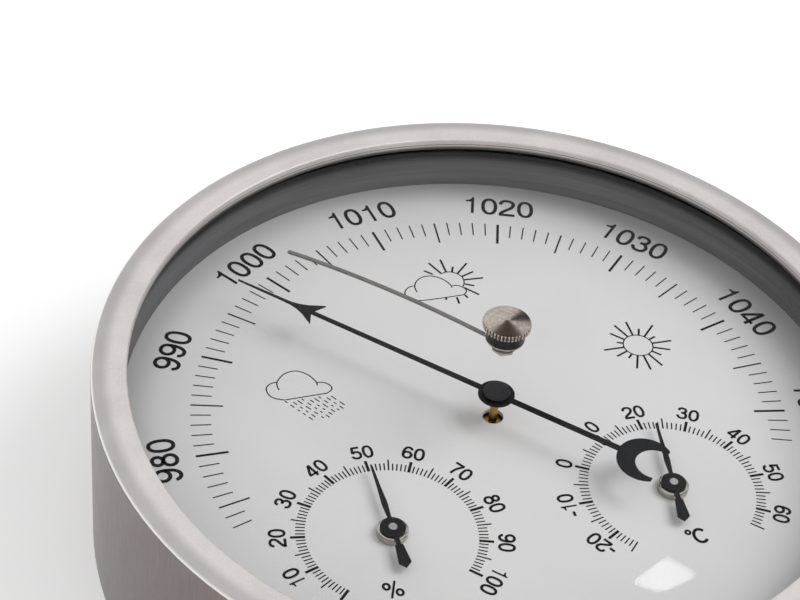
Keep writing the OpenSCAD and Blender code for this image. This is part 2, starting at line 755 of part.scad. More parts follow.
module diaphragm() rotate_extrude() polygon(concat(
    [[0, diaphragm_h]], wave_line(0), [[capsule_r, diaphragm_t], [capsule_r, 0]],
    reversed(wave_line(-diaphragm_t)), [[0, diaphragm_h - diaphragm_t]]));

module capsule_base() color("silver") translate([capsule_x, capsule_y, rim_z - nick])
    mirror([0, 0, 1]) diaphragm();

module capsule_diaphragm() color("silver")
    translate([capsule_x, capsule_y, rim_z]) diaphragm();

module capsule_boss() color("goldenrod") translate([capsule_x, capsule_y, 0]) {
    seat = capsule_front;
    translate([0, 0, seat]) cylinder(r = boss_foot_r, h = 0.4);
    intersection() {
        translate([0, 0, seat]) cylinder(r = 1, h = boss_top - seat);
        translate([0, 0, boss_top - boss_ball_r]) sphere(r = boss_ball_r);
    }
    translate([0, 0, seat]) cylinder(r = 1, h = boss_top - boss_ball_r - seat);
}

module capsule_post() color("goldenrod") translate([capsule_x, capsule_y, 0]) difference() {
    union() {
        translate([0, 0, capsule_rear - nick - post_flange_t])
            cylinder(r = post_flange_r, h = post_flange_t);
        translate([0, 0, base_top + nick])
            cylinder(r = post_r + 0.6, h = capsule_rear - 2 * nick - base_top);
        translate([0, 0, base_under - 0.5]) cylinder(r = post_r, h = plate_t + 0.6);
    }
    translate([-2 * post_r, -0.25, base_under - 1]) cube([4 * post_r, 0.5, 1.1]);
}

// Skeleton plate of the movement: arms between the pivots and the three pillars
module skeleton_plate(z) {
    arm([0, 0], [0, staff_y], arm_w, z, plate_t);
    arm([0, 0], pillar_places[2], arm_w, z, plate_t);
    arm([0, staff_y], pillar_places[0], arm_w, z, plate_t);
    arm([0, staff_y], pillar_places[1], arm_w, z, plate_t);
    translate([0, 0, z]) cylinder(r = plate_hub_r, h = plate_t);
    translate([0, staff_y, z]) cylinder(r = arm_w / 2 + hub_rim, h = plate_t);
    for (p = pillar_places) translate([p.x, p.y, z]) cylinder(r = arm_w / 2 + hub_rim, h = plate_t);
}

module pillar_holes(r) {
    for (p = pillar_places) translate([p.x, p.y, 0]) hole(r);
}

module base_plate() color("gray") difference() {
    union() {
        for (i = [0:2]) arm(pillar_places[i], pillar_places[(i + 1) % 3], arm_w, base_under,
                            plate_t);
        for (p = pillar_places) {
            arm([capsule_x, capsule_y], p, arm_w, base_under, plate_t);
            translate([p.x, p.y, base_under]) cylinder(r = arm_w / 2 + 2 * hub_rim, h = plate_t);
        }
        translate([capsule_x, capsule_y, base_under]) cylinder(r = base_hub_r, h = plate_t);
    }
    translate([capsule_x, capsule_y, 0]) hole(post_r + 0.02);
    pillar_holes(screw_bore_r);
}

module lower_plate() color("goldenrod") difference() {
    skeleton_plate(lower_under);
    hole(arbor_pivot_r + pivot_gap);
    translate([0, staff_y, 0]) hole(staff_pivot_r + pivot_gap);
    for (y = bracket_screw_y) translate([0, y, 0]) hole(0.75);
    pillar_holes(screw_bore_r);
}

module upper_plate() color("goldenrod") difference() {
    union() {
        skeleton_plate(upper_under);
        translate([0, 0, upper_under]) cylinder(r = dial_hole_r - 0.2, h = bush_top - upper_under);
    }
    hole(arbor_pivot_r + pivot_gap);
    translate([0, staff_y, 0]) hole(staff_pivot_r + pivot_gap);
    pillar_holes(screw_bore_r);
}

module pillars(z, height) {
    for (p = pillar_places) translate([p.x, p.y, 0]) ring(pillar_r, screw_bore_r, z, height);
}

module base_pillars() color("goldenrod") pillars(base_top, base_gap);

module plate_pillars() color("goldenrod") pillars(lower_top, works_gap);

module dial_pillars() color("goldenrod") pillars(upper_top, upper_gap);

module movement_screws() color("silver") for (p = pillar_places)
    translate([p.x, p.y, base_under]) difference() {
        union() {
            cylinder(r = long_screw_r, h = dial_back - base_under - 0.3);
            translate([0, 0, -long_head_h]) cylinder(r = long_head_r, h = long_head_h);
        }
        translate([-3, -0.2, -long_head_h - 1]) cube([6, 0.4, 1.3]);
    }

// Small pointer, with its tip along +X and a broad pointed tail
module small_pointer_body() {
    side = [[-sub_tail_len, 0.05], [-sub_tail_len + 0.95, 1], [-3.75, 0.65], [-3.6, 0.38],
            [2.4, 0.31], [5.1, 0.48], [sub_pointer_len - 4.2, 0.27], [sub_pointer_len, 0.17]];
    linear_extrude(pointer_t) polygon(concat(side, [for (p = reversed(side)) [p.x, -p.y]]));
    cylinder(r = sub_hub_r, h = pointer_t);
}

module small_pointer(i, angle) color([0.1, 0.1, 0.1]) at_small_dial(i, angle + 90) difference() {
    translate([0, 0, sub_pointer_top - pointer_t]) small_pointer_body();
    hole(sub_staff_r * 0.7 + 0.02);
}

module small_staff(i) color("silver") at_small_dial(i) rotate_extrude() polygon([
    [0, cup_rear + 0.1], [0.4, cup_rear + 0.1], [0.4, cup_rear + bridge_t + 0.1],
    [sub_staff_r, cup_rear + bridge_t + 0.1],
    [sub_staff_r, sub_pointer_top - pointer_t - 0.02],
    [sub_staff_r * 0.7, sub_pointer_top - pointer_t - 0.02], [sub_staff_r * 0.7, sub_pointer_top],
    [sub_rivet_r, sub_pointer_top], [sub_rivet_r, sub_pointer_top + sub_rivet_h - 0.1],
    [sub_rivet_r - 0.1, sub_pointer_top + sub_rivet_h], [0, sub_pointer_top + sub_rivet_h]]);

module small_bush(i) color("lightgray") at_small_dial(i) difference() {
    rotate_extrude() polygon(concat(
        [[0, dial_back - cup_floor_t - 0.4], [sub_shank_r, dial_back - cup_floor_t - 0.4],
         [sub_shank_r, dial_z], [sub_bush_r, dial_z]],
        arc(0.35, 0, 90, 4, [sub_bush_r - 0.35, dial_z + sub_bush_h - 0.35]),
        [[0, dial_z + sub_bush_h]]));
    hole(sub_staff_r + pivot_gap);
}

// Cup behind a small dial, with the post that holds the coil's outer end, and two ears
// whose pins are riveted over the bridge
module small_cup(i) color("darkgoldenrod") at_small_dial(i) {
    ring(cup_r, sub_shank_r + stud_gap, dial_back - cup_floor_t, cup_floor_t);
    ring(cup_r, cup_r - cup_t, cup_rear + bridge_t, cup_h - bridge_t);
    translate([coil_out_r + coil_t / 2 + 0.02, -1, coil_z])
        cube([cup_r - cup_t / 2 - coil_out_r - coil_t / 2, 2, dial_back - coil_z]);
    for (side = [-1, 1]) translate([0, side * bridge_pin_at, 0]) {
        translate([0, 0, cup_rear]) cylinder(r = bridge_pin_r, h = bridge_t + ear_plate_t);
        translate([-1.2, side > 0 ? -1 : -cup_r + bridge_pin_at + cup_t / 2, cup_rear + bridge_t])
            cube([2.4, 1 + cup_r - bridge_pin_at - cup_t / 2, ear_plate_t]);
    }
}

module small_coil(i) color(i == 0 ? "tan" : "orange") at_small_dial(i)
    translate([0, 0, coil_z])
        spiral_strip(collet_r + 0.35, coil_out_r, coil_turns, coil_t, coil_h);

module small_collet(i) color("goldenrod") at_small_dial(i)
    ring(collet_r, sub_staff_r + 0.01, coil_z - 0.3, coil_h + 0.6);

module small_bridge(i) color("goldenrod") at_small_dial(i) difference() {
    intersection() {
        translate([-bridge_w / 2, -cup_r, cup_rear]) cube([bridge_w, 2 * cup_r, bridge_t]);
        hole(cup_r);
    }
    hole(0.4 + pivot_gap);
    for (side = [-1, 1]) translate([0, side * bridge_pin_at, 0]) hole(bridge_pin_r + 0.01);
}

case_shell();
case_lugs();
window_gasket();
window_glass();
spacer_ring();
dial_plate();
carrier_ring();
rear_cover();
rear_cover_screws();
set_knob();
knob_washer();
glass_bush();
friction_washer();
set_hand();
set_hand_nut();
pressure_pointer();
pointer_cap();
pointer_pipe();
pointer_arbor();
arbor_pinion();
hairspring_collet();
hairspring();
hairspring_stud();
sector_gear();
sector_staff();
sector_pin();
rocker_shaft();
rocker_fork();
capsule_lever();
rocker_bracket();
bracket_screws();
capsule_base();
capsule_diaphragm();
capsule_boss();
capsule_post();
base_plate();
lower_plate();
upper_plate();
base_pillars();
plate_pillars();
dial_pillars();
movement_screws();
small_pointer(0, hygrometer_angle);  // hygrometer_pointer
small_staff(0);  // hygrometer_staff
small_bush(0);  // hygrometer_bush
small_cup(0);  // hygrometer_cup
small_coil(0);  // hygrometer_coil
small_collet(0);  // hygrometer_collet
small_bridge(0);  // hygrometer_bridge
small_pointer(1, thermometer_angle);  // thermometer_pointer
small_staff(1);  // thermometer_staff
small_bush(1);  // thermometer_bush
small_cup(1);  // thermometer_cup
small_coil(1);  // thermometer_coil
small_collet(1);  // thermometer_collet
small_bridge(1);  // thermometer_bridge
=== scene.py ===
"""Looks of the round weather station: finishes, dial print, window, light and camera.

Sizes of the object are in millimetres, and those of the studio in metres.
"""

from __future__ import annotations

import logging
import math
from dataclasses import dataclass, field
from enum import Enum
from typing import Any, Optional, Sequence, Union

import bmesh
import bpy
from mathutils import Euler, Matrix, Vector


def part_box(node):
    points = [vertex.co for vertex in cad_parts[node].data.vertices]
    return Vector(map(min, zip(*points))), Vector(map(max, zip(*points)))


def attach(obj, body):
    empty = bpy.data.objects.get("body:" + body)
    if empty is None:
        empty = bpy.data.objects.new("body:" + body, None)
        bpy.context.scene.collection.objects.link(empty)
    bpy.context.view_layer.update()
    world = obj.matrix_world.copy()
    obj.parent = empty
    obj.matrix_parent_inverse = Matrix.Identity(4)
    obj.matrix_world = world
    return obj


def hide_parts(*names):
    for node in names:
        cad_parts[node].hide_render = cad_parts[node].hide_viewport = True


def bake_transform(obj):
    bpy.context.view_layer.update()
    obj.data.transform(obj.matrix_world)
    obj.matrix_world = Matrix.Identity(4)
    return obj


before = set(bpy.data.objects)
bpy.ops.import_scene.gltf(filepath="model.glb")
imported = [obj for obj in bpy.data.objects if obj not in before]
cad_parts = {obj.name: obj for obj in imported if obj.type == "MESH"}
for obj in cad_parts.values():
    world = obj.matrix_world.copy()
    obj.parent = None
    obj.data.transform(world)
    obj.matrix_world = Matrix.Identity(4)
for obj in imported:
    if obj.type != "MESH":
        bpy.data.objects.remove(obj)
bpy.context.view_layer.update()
MM = 0.001
LOG = logging.getLogger("weather_station")

CURVE_STEPS = 8
OVAL_POINTS = 40

Point = tuple[float, float]
Place = tuple[float, float, float]
Colour = tuple[float, float, float, float]
Line = tuple[list[Point], bool, float]
Rays = dict[float, tuple[float, float]]


def paint(code: str) -> Colour:
    """Turn a hex colour as it is seen into the linear colour that shaders use.

    Args:
        code: Six hex digits, with or without a leading hash.

    Returns:
        Linear red, green, blue and an alpha of one.
    """
    digits = code.lstrip("#")
    seen = [int(digits[i : i + 2], 16) / 255 for i in (0, 2, 4)]
    linear = [c / 12.92 if c <= 0.04045 else ((c + 0.055) / 1.055) ** 2.4 for c in seen]
    return (linear[0], linear[1], linear[2], 1.0)


class Shade:
    """One socket of a node tree, written with in plain arithmetic."""

    def __init__(self, graph: "Graph", socket: bpy.types.NodeSocket) -> None:
        """Keep the socket and the graph that it lies in."""
        self.graph = graph
        self.socket = socket

    def _math(self, operation: str, first: "Value", second: "Value") -> "Shade":
        """Add one Math node.

        Args:
            operation: Blender's name of the operation.
            first: The value of the first input.
            second: The value of the second input.

        Returns:
            The node's result.
        """
        values = {0: first, 1: second}
        return self.graph.node("ShaderNodeMath", {"operation": operation}, values)

    def __add__(self, other: "Value") -> "Shade":
        """Add a value to this one."""
        return self._math("ADD", self, other)

    def __radd__(self, other: "Value") -> "Shade":
        """Add this value to a plain one."""
        return self._math("ADD", other, self)

    def __sub__(self, other: "Value") -> "Shade":
        """Take a value from this one."""
        return self._math("SUBTRACT", self, other)

    def __rsub__(self, other: "Value") -> "Shade":
        """Take this value from a plain one."""
        return self._math("SUBTRACT", other, self)

    def __mul__(self, other: "Value") -> "Shade":
        """Multiply this value."""
        return self._math("MULTIPLY", self, other)

    def __rmul__(self, other: "Value") -> "Shade":
        """Multiply a plain value by this one."""
        return self._math("MULTIPLY", other, self)

    def __pow__(self, other: "Value") -> "Shade":
        """Raise this value to a power."""
        return self._math("POWER", self, other)

    def over(self, low: float, high: float) -> "Shade":
        """Go smoothly from 0 to 1 as this value rises.

        Args:
            low: Where the result leaves 0.
            high: Where the result reaches 1.

        Returns:
            The result, between 0 and 1.
        """
        return self.graph.node(
            "ShaderNodeMapRange",
            {"interpolation_type": "SMOOTHSTEP"},
            {"Value": self, "From Min": low, "From Max": high},
        )


Value = Union[Shade, float, int, Sequence[float]]
Values = dict[Union[str, int], Value]


class Graph:
    """A node tree that is filled by plain calls."""

    def __init__(self, tree: bpy.types.NodeTree) -> None:
        """Start with an empty tree."""
        self.tree = tree
        self.tree.nodes.clear()

    def add(
        self,
        kind: str,
        settings: Optional[dict[str, Any]] = None,
        values: Optional[Values] = None,
    ) -> bpy.types.Node:
        """Add a node.

        Args:
            kind: The node's type.
            settings: Its settings, set first.
            values: What goes into its sockets, as plain values or other shades.

        Returns:
            The node.
        """
        made = self.tree.nodes.new(kind)
        for name, setting in (settings or {}).items():
            setattr(made, name, setting)
        for key, value in (values or {}).items():
            if isinstance(value, Shade):
                self.tree.links.new(value.socket, made.inputs[key])
            else:
                made.inputs[key].default_value = value
        return made

    def node(
        self,
        kind: str,
        settings: Optional[dict[str, Any]] = None,
        values: Optional[Values] = None,
        out: Union[str, int] = 0,
    ) -> Shade:
        """Add a node for one of its outputs, which is handed back."""
        return Shade(self, self.add(kind, settings, values).outputs[out])

    def vector(self, operation: str, values: Values, out: Union[str, int] = 0) -> Shade:
        """Add one Vector Math node.

        Args:
            operation: Blender's name of the operation.
            values: What goes into its sockets.
            out: The output that is handed back.

        Returns:
            That output.
        """
        return self.node("ShaderNodeVectorMath", {"operation": operation}, values, out)

    def place(self) -> Shade:
        """Give the point on the object, in millimetres."""
        spot = self.node("ShaderNodeTexCoord", out="Object")
        return self.vector("SCALE", {0: spot, "Scale": 1 / MM})

    def stretched(self, where: Shade, scale: Sequence[float]) -> Shade:
        """Scale a vector by a number for each axis."""
        return self.vector("MULTIPLY", {0: where, 1: tuple(scale)})

    def part(self, where: Shade, index: int) -> Shade:
        """Give the first, second or third part of a vector."""
        return self.node("ShaderNodeSeparateXYZ", None, {0: where}, out=index)

    def upward(self) -> Shade:
        """Give how far the surface faces up: 1 on top, 0 on a side."""
        return self.part(self.node("ShaderNodeNewGeometry", out="Normal"), 2)

    def around(self, centre: Point = (0.0, 0.0)) -> tuple[Shade, Shade, Shade]:
        """Give places round an upright axis.

        Args:
            centre: Where the axis stands, in millimetres.

        Returns:
            The radius and the height in millimetres, and the outward direction.
        """
        moved = self.vector("SUBTRACT", {0: self.place(), 1: (centre[0], centre[1], 0.0)})
        flat = self.stretched(moved, (1.0, 1.0, 0.0))
        radius = self.vector("LENGTH", {0: flat}, out="Value")
        outward = self.vector("NORMALIZE", {0: flat})
        return radius, self.part(moved, 2), outward

    def wrapped(self, outward: Shade, spread: float, rise: Value) -> Shade:
        """Give a vector that runs round an upright axis.

        Args:
            outward: The outward direction.
            spread: Changes round one turn, roughly.
            rise: What goes into the vector's height.

        Returns:
            The vector.
        """
        ring = self.stretched(outward, (spread, spread, 0.0))
        return self.vector("ADD", {0: ring, 1: self.node("ShaderNodeCombineXYZ", None, {2: rise})})

    def turned(self, around: tuple[Shade, Shade, Shade], lines: float, spread: float) -> Shade:
        """Give a vector whose noise runs in rings, as the marks of a lathe do.

        Args:
            around: What around() gave.
            lines: Changes for a millimetre across the rings.
            spread: Changes round one turn, roughly.

        Returns:
            The vector.
        """
        radius, height, outward = around
        return self.wrapped(outward, spread, (radius + height) * lines)

    def noise(self, where: Shade, scale: float, detail: float, rough: float = 0.5) -> Shade:
        """Give noise over a vector.

        Args:
            where: The vector.
            scale: How fine the noise is.
            detail: How many finer layers it holds.
            rough: How much each finer layer counts.

        Returns:
            Noise from 0 to 1.
        """
        values: Values = {"Vector": where, "Scale": scale, "Detail": detail, "Roughness": rough}
        return self.node("ShaderNodeTexNoise", None, values)

    def blend(self, factor: Value, first: Value, second: Value) -> Shade:
        """Mix two colours.

        Args:
            factor: How much of the second shows.
            first: The first colour.
            second: The second colour.

        Returns:
            The mixed colour.
        """
        values: Values = {0: factor, 6: first, 7: second}
        return self.node("ShaderNodeMix", {"data_type": "RGBA"}, values, out=2)

    def bump(self, height: Value, depth_mm: float) -> Shade:
        """Turn a height from 0 to 1 into a normal."""
        return self.node("ShaderNodeBump", None, {"Distance": depth_mm * MM, "Height": height})

    def emission(self, values: Values) -> Shade:
        """Give a surface that glows."""
        return self.node("ShaderNodeEmission", None, values)

    def show(self, surface: Shade, kind: str = "ShaderNodeOutputMaterial") -> None:
        """Send a shader to an output node of a kind."""
        self.add(kind, None, {"Surface": surface})

    def show_solid(self, values: Values) -> None:
        """Show a Principled surface with these values."""
        self.show(self.node("ShaderNodeBsdfPrincipled", None, values))


def fresh(name: str) -> tuple[bpy.types.Material, Graph]:
    """Make an empty material.

    Args:
        name: The material's name.

    Returns:
        The material and its graph.
    """
    material = bpy.data.materials.new(name)
    material.use_nodes = True
    return material, Graph(material.node_tree)


class Grain(Enum):
    """How a surface was made, which is how its marks run."""

    TURNED = "turned"
    DRAWN = "drawn"
    ROLLED = "rolled"
    MOULDED = "moulded"
    LACQUERED = "lacquered"


@dataclass(frozen=True)
class Finish:
    """A plain finish: two close colours, gloss, and the marks of its making."""

    name: str
    base: str
    shade: str
    roughness: float
    spread: float = 0.12
    metallic: float = 0.0
    grain: Grain = Grain.LACQUERED
    fine: float = 3.0
    depth_mm: float = 0.004
    coat: float = 0.0
    specular: float = 0.5
    patch_scale: float = 0.35

    def _marks(self, graph: Graph, centre: Point) -> Shade:
        """Give the noise of the making marks.

        Args:
            graph: The graph to add to.
            centre: The axis that turned marks run round, in millimetres.

        Returns:
            Noise from 0 to 1.
        """
        if self.grain is Grain.TURNED:
            rings = graph.turned(graph.around(centre), self.fine * 6, 1.2)
            return graph.noise(rings, 1.0, 3.0)
        where = graph.place()
        if self.grain is Grain.DRAWN:
            return graph.noise(graph.stretched(where, (0.25, 4.0, 4.0)), self.fine, 3.0)
        if self.grain is Grain.ROLLED:
            return graph.noise(graph.stretched(where, (5.0, 0.35, 1.0)), self.fine, 4.0)
        if self.grain is Grain.MOULDED:
            return graph.noise(where, self.fine * 2.0, 5.0, 0.62)
        return graph.noise(where, self.fine, 2.0, 0.4)

    def make(self, centre: Point = (0.0, 0.0)) -> bpy.types.Material:
        """Build the material.

        Args:
            centre: The axis that turned marks run round, in millimetres.

        Returns:
            The material.
        """
        material, graph = fresh(self.name)
        marks = self._marks(graph, centre)
        patches = graph.noise(graph.place(), self.patch_scale, 3.0, 0.55)
        mixed = (marks * 0.6 + patches * 0.7 - 0.15).over(0.15, 0.85)
        values: Values = {
            "Base Color": graph.blend(mixed, paint(self.base), paint(self.shade)),
            "Roughness": self.roughness + (marks * 0.6 + patches * 0.4 - 0.5) * self.spread,
            "Metallic": self.metallic,
            "Coat Weight": self.coat,
            "Specular IOR Level": self.specular,
            "Normal": graph.bump(marks, self.depth_mm),
        }
        graph.show_solid(values)
        return material


@dataclass(frozen=True)
class CaseSteel:
    """Brushed stainless: a pale bezel, a wall with upright streaks painted darker as shade, and a
    plain inside, with painted shade on the outer edge and the hem and a painted highlight on the
    corner.
    """

    name: str = "brushed_stainless"
    bezel: str = "#f2ece9"
    bezel_low: str = "#dad4d2"
    # painted shade on the bezel's rounded outer edge
    bezel_edge: str = "#c4bfbe"
    # painted shade: the outer wall is a darker copy of the bezel's steel
    wall: str = "#8c827f"
    wall_low: str = "#736a67"
    # painted shade down the bezel's inner hem; the dark seam line takes this colour too
    lip: str = "#6a6968"
    # painted highlight along the rounded outer corner
    corner: str = "#f6f3f0"
    inside_r: float = 64.0
    inside_fade: float = 0.6
    dull_r: float = 60.25
    dull_fade: float = 0.15
    edge_from: float = 62.4
    edge_full: float = 64.6
    seam: float = 34.95
    seam_half: float = 0.12
    lip_from: float = 34.9
    lip_full: float = 34.1
    ring_lines: float = 9.0
    ring_spread: float = 5.0
    streak_spread: float = 520.0
    streak_rise: float = 0.22
    cloud_scale: float = 0.09
    speck_scale: float = 2.2
    roughness: float = 0.3
    depth_mm: float = 0.012

    def _face(self, graph: Graph, radius: Shade, rings: Shade, clouds: Shade) -> Shade:
        """Give the bezel's colour.

        Args:
            graph: The graph to add to.
            radius: The distance from the axis.
            rings: The turning marks.
            clouds: The wide patches.

        Returns:
            The colour, with painted shade greying it to the outer edge.
        """
        specks = graph.noise(graph.place(), self.speck_scale, 5.0, 0.7)
        tone = rings * 0.25 + clouds * 0.7 + specks * 0.5 - 0.25
        face = graph.blend(tone.over(0.2, 0.85), paint(self.bezel), paint(self.bezel_low))
        # painted shade: the outer edge greys where the bezel rounds over
        edge = radius.over(self.edge_from, self.edge_full) * (0.55 + clouds * 0.7)
        return graph.blend(edge, face, paint(self.bezel_edge))

    def _hem(self, graph: Graph, height: Shade, face: Shade) -> Shade:
        """Give the colour of the hem inside the bezel.

        Args:
            graph: The graph to add to.
            height: The height above the rear rim.
            face: The bezel's colour.

        Returns:
            The bezel's colour above, painted shade below, with a dark line at the seam.
        """
        lip = paint(self.lip)
        # painted shade: the hem darkens down towards the dial
        hem = graph.blend(1.0 - height.over(self.lip_full, self.lip_from), face, lip)
        rise = height.over(self.seam - self.seam_half, self.seam)
        line = rise * (1.0 - height.over(self.seam, self.seam + self.seam_half))
        return graph.blend(line, hem, lip)

    def make(self) -> bpy.types.Material:
        """Build the material.

        Returns:
            The material.
        """
        material, graph = fresh(self.name)
        around = graph.around()
        radius, height, outward = around
        facing = graph.upward()
        top = facing.over(0.25, 0.75)
        inside = 1.0 - radius.over(self.inside_r, self.inside_r + self.inside_fade)
        dull = 1.0 - radius.over(self.dull_r, self.dull_r + self.dull_fade)
        rings = graph.noise(graph.turned(around, self.ring_lines, self.ring_spread), 1.0, 4.0)
        upright = graph.wrapped(outward, self.streak_spread, height * self.streak_rise)
        streaks = graph.noise(upright, 1.0, 3.0)
        clouds = graph.noise(graph.place(), self.cloud_scale, 3.0, 0.6)
        face = self._face(graph, radius, rings, clouds)
        tone = (streaks * 0.7 + clouds * 0.3).over(0.1, 0.9)
        # painted shade: the side walls take the darker copy of the steel, the top the pale one
        side = graph.blend(tone, paint(self.wall), paint(self.wall_low))
        side = graph.blend(inside, side, self._hem(graph, height, face))
        # painted highlight: a bright band where the top turns down into the outer wall
        corner = facing.over(0.3, 0.5) * (1.0 - facing.over(0.6, 0.85)) * (1.0 - inside)
        marks = graph.part(graph.blend(top, streaks, rings), 0)
        values: Values = {
            "Base Color": graph.blend(corner, graph.blend(top, side, face), paint(self.corner)),
            "Metallic": 1.0,
            "Roughness": self.roughness + (marks - 0.5) * 0.16 + clouds * 0.06 + dull * 0.3,
            "Normal": graph.bump(marks, self.depth_mm),
        }
        graph.show_solid(values)
        return material


@dataclass(frozen=True)
class DarkWall:
    """Satin dark wall between the dial and the window, painted black as shade under the hem."""

    name: str = "dark_wall"
    plain: str = "#707072"
    low: str = "#58585a"
    shaded: str = "#19191a"
    black_from: float = 29.8
    black_full: float = 31.7
    band_spread: float = 1.6
    band_rise: float = 0.9
    roughness: float = 0.4
    specular: float = 0.3
    depth_mm: float = 0.002

    def make(self) -> bpy.types.Material:
        """Build the material.

        Returns:
            The material.
        """
        material, graph = fresh(self.name)
        _, height, outward = graph.around()
        bands = graph.wrapped(outward, self.band_spread, height * self.band_rise)
        marks = graph.noise(bands, 1.0, 3.0)
        tone = (marks * 1.2 - 0.1).over(0.1, 0.9)
        plain = graph.blend(tone, paint(self.low), paint(self.plain))
        # painted shade: the top of the wall goes black under the bezel's hem
        black = height.over(self.black_from, self.black_full)
        values: Values = {
            "Base Color": graph.blend(black, plain, paint(self.shaded)),
            "Roughness": self.roughness + (marks - 0.5) * 0.16,
            "Specular IOR Level": self.specular,
            "Normal": graph.bump(marks, self.depth_mm),
        }
        graph.show_solid(values)
        return material


@dataclass(frozen=True)
class KnobNickel:
    """Turned nickel: ring marks on the head, grooves in the knurl dulled and darkened as painted
    shade, and a collar painted dark as shade under the rim.
    """

    name: str = "turned_nickel"
    bright: str = "#dcd2c8"
    low: str = "#b3a89c"
    # painted shade in the knurl's grooves
    groove: str = "#4d443d"
    # painted shade on the collar under the knurled rim
    collar: str = "#3b3b3c"
    head_r: float = 3.95
    groove_deep: float = 0.19
    groove_start: float = 0.12
    rim_drop: float = 1.45
    rim_fade: float = 0.04
    ring_lines: float = 12.0
    ring_spread: float = 1.5
    wear_scale: float = 1.6
    roughness: float = 0.15
    depth_mm: float = 0.0007

    def make(self, top_mm: float) -> bpy.types.Material:
        """Build the material.

        Args:
            top_mm: The height of the knob's top.

        Returns:
            The material.
        """
        material, graph = fresh(self.name)
        around = graph.around()
        radius, height, _ = around
        rings = graph.noise(graph.turned(around, self.ring_lines, self.ring_spread), 1.0, 3.0)
        wear = graph.noise(graph.place(), self.wear_scale, 4.0, 0.6)
        tone = (rings * 0.5 + wear * 0.8 - 0.15).over(0.2, 0.8)
        metal = graph.blend(tone, paint(self.bright), paint(self.low))
        within = 1.0 - radius.over(self.head_r - self.groove_deep, self.head_r - self.groove_start)
        # painted shade: the knurl's side-facing grooves are darkened
        groove_shade_mask = (1.0 - graph.upward().over(0.2, 0.6)) * within
        metal = graph.blend(groove_shade_mask, metal, paint(self.groove))
        rim = top_mm - self.rim_drop
        # painted shade: all below the rim is darkened
        under = 1.0 - height.over(rim - self.rim_fade, rim + self.rim_fade)
        values: Values = {
            "Base Color": graph.blend(under, metal, paint(self.collar)),
            "Metallic": 1.0,
            "Roughness": self.roughness + (wear - 0.5) * 0.12 + groove_shade_mask * 0.2,
            "Normal": graph.bump(rings, self.depth_mm),
        }
        graph.show_solid(values)
        return material


@dataclass(frozen=True)
class WindowClear:
    """Thin clear window: light goes straight through and a little is mirrored."""

    name: str = "clear_window"
    passed: float = 0.99
    mirrored: float = 0.006
    edge: float = 0.4
    steepness: float = 5.0
    smear_scale: float = 0.12
    polish: float = 0.02

    def make(self) -> bpy.types.Material:
        """Build the material.

        Returns:
            The material.
        """
        material, graph = fresh(self.name)
        facing = graph.node("ShaderNodeLayerWeight", None, {"Blend": 0.5}, out="Facing")
        smears = graph.noise(graph.place(), self.smear_scale, 3.0, 0.6)
        share = self.mirrored * (0.8 + smears * 0.4) + facing**self.steepness * self.edge
        colour = (self.passed, self.passed, self.passed, 1.0)
        clear = graph.node("ShaderNodeBsdfTransparent", None, {"Color": colour})
        gloss = graph.node("ShaderNodeBsdfAnisotropic", None, {"Roughness": self.polish})
        graph.show(graph.node("ShaderNodeMixShader", None, {0: share, 1: clear, 2: gloss}))
        return material


@dataclass(frozen=True)
class DialLacquer:
    """Matt silver-white dial lacquer, with painted shade darkening it a little to the rim."""

    name: str = "dial_lacquer"
    middle: str = "#e9e8e8"
    # painted shade towards the rim, where the case wall shades the dial
    rim: str = "#bab9ba"
    slope_from: float = 30.0
    slope_full: float = 58.0
    rim_from: float = 54.0
    rim_full: float = 61.5
    grain_scale: float = 9.0
    cloud_scale: float = 0.06
    roughness: float = 0.55
    specular: float = 0.35
    depth_mm: float = 0.002

    def make(self) -> bpy.types.Material:
        """Build the material.

        Returns:
            The material.
        """
        material, graph = fresh(self.name)
        radius = graph.around()[0]
        grain = graph.noise(graph.place(), self.grain_scale, 4.0, 0.65)
        clouds = graph.noise(graph.place(), self.cloud_scale, 3.0)
        # painted shade: a gentle fall outward, and more near the rim
        slope = radius.over(self.slope_from, self.slope_full) * 0.2
        slope = slope + radius.over(self.rim_from, self.rim_full) * 0.7
        tone = slope + (clouds - 0.5) * 0.25 + (grain - 0.5) * 0.12
        values: Values = {
            "Base Color": graph.blend(tone, paint(self.middle), paint(self.rim)),
            "Roughness": self.roughness + (grain - 0.5) * 0.2,
            "Specular IOR Level": self.specular,
            "Normal": graph.bump(grain, self.depth_mm),
        }
        graph.show_solid(values)
        return material


STEEL_BRIGHT = Finish(
    "bright_steel",
    base="#c9c8c6",
    shade="#a9a8a6",
    roughness=0.26,
    spread=0.16,
    metallic=1.0,
    grain=Grain.TURNED,
)
STEEL_SCREW = Finish(
    "zinc_screw",
    base="#b9b7b2",
    shade="#918f8a",
    roughness=0.34,
    spread=0.18,
    metallic=1.0,
    grain=Grain.TURNED,
    depth_mm=0.006,
)
STEEL_TAB = Finish(
    "steel_tab",
    base="#a8a4a0",
    shade="#8b8783",
    roughness=0.36,
    spread=0.16,
    metallic=1.0,
    grain=Grain.ROLLED,
    fine=2.0,
    depth_mm=0.006,
)
NICKEL = Finish(
    "nickel",
    base="#cfcac3",
    shade="#a39d95",
    roughness=0.12,
    spread=0.1,
    metallic=1.0,
    grain=Grain.TURNED,
    depth_mm=0.001,
)
HAND_STEEL = Finish(
    "set_hand_steel",
    base="#8f8e8d",
    shade="#757473",
    roughness=0.35,
    spread=0.14,
    metallic=1.0,
    grain=Grain.ROLLED,
    depth_mm=0.003,
)
BLACK_HAND = Finish(
    "black_hand",
    base="#131417",
    shade="#1b1c1f",
    roughness=0.34,
    spread=0.14,
    fine=5.0,
    specular=0.16,
)
BLACK_CAP = Finish(
    "black_cap",
    base="#111214",
    shade="#1d1e21",
    roughness=0.24,
    fine=5.0,
    depth_mm=0.003,
    coat=0.12,
    specular=0.3,
)
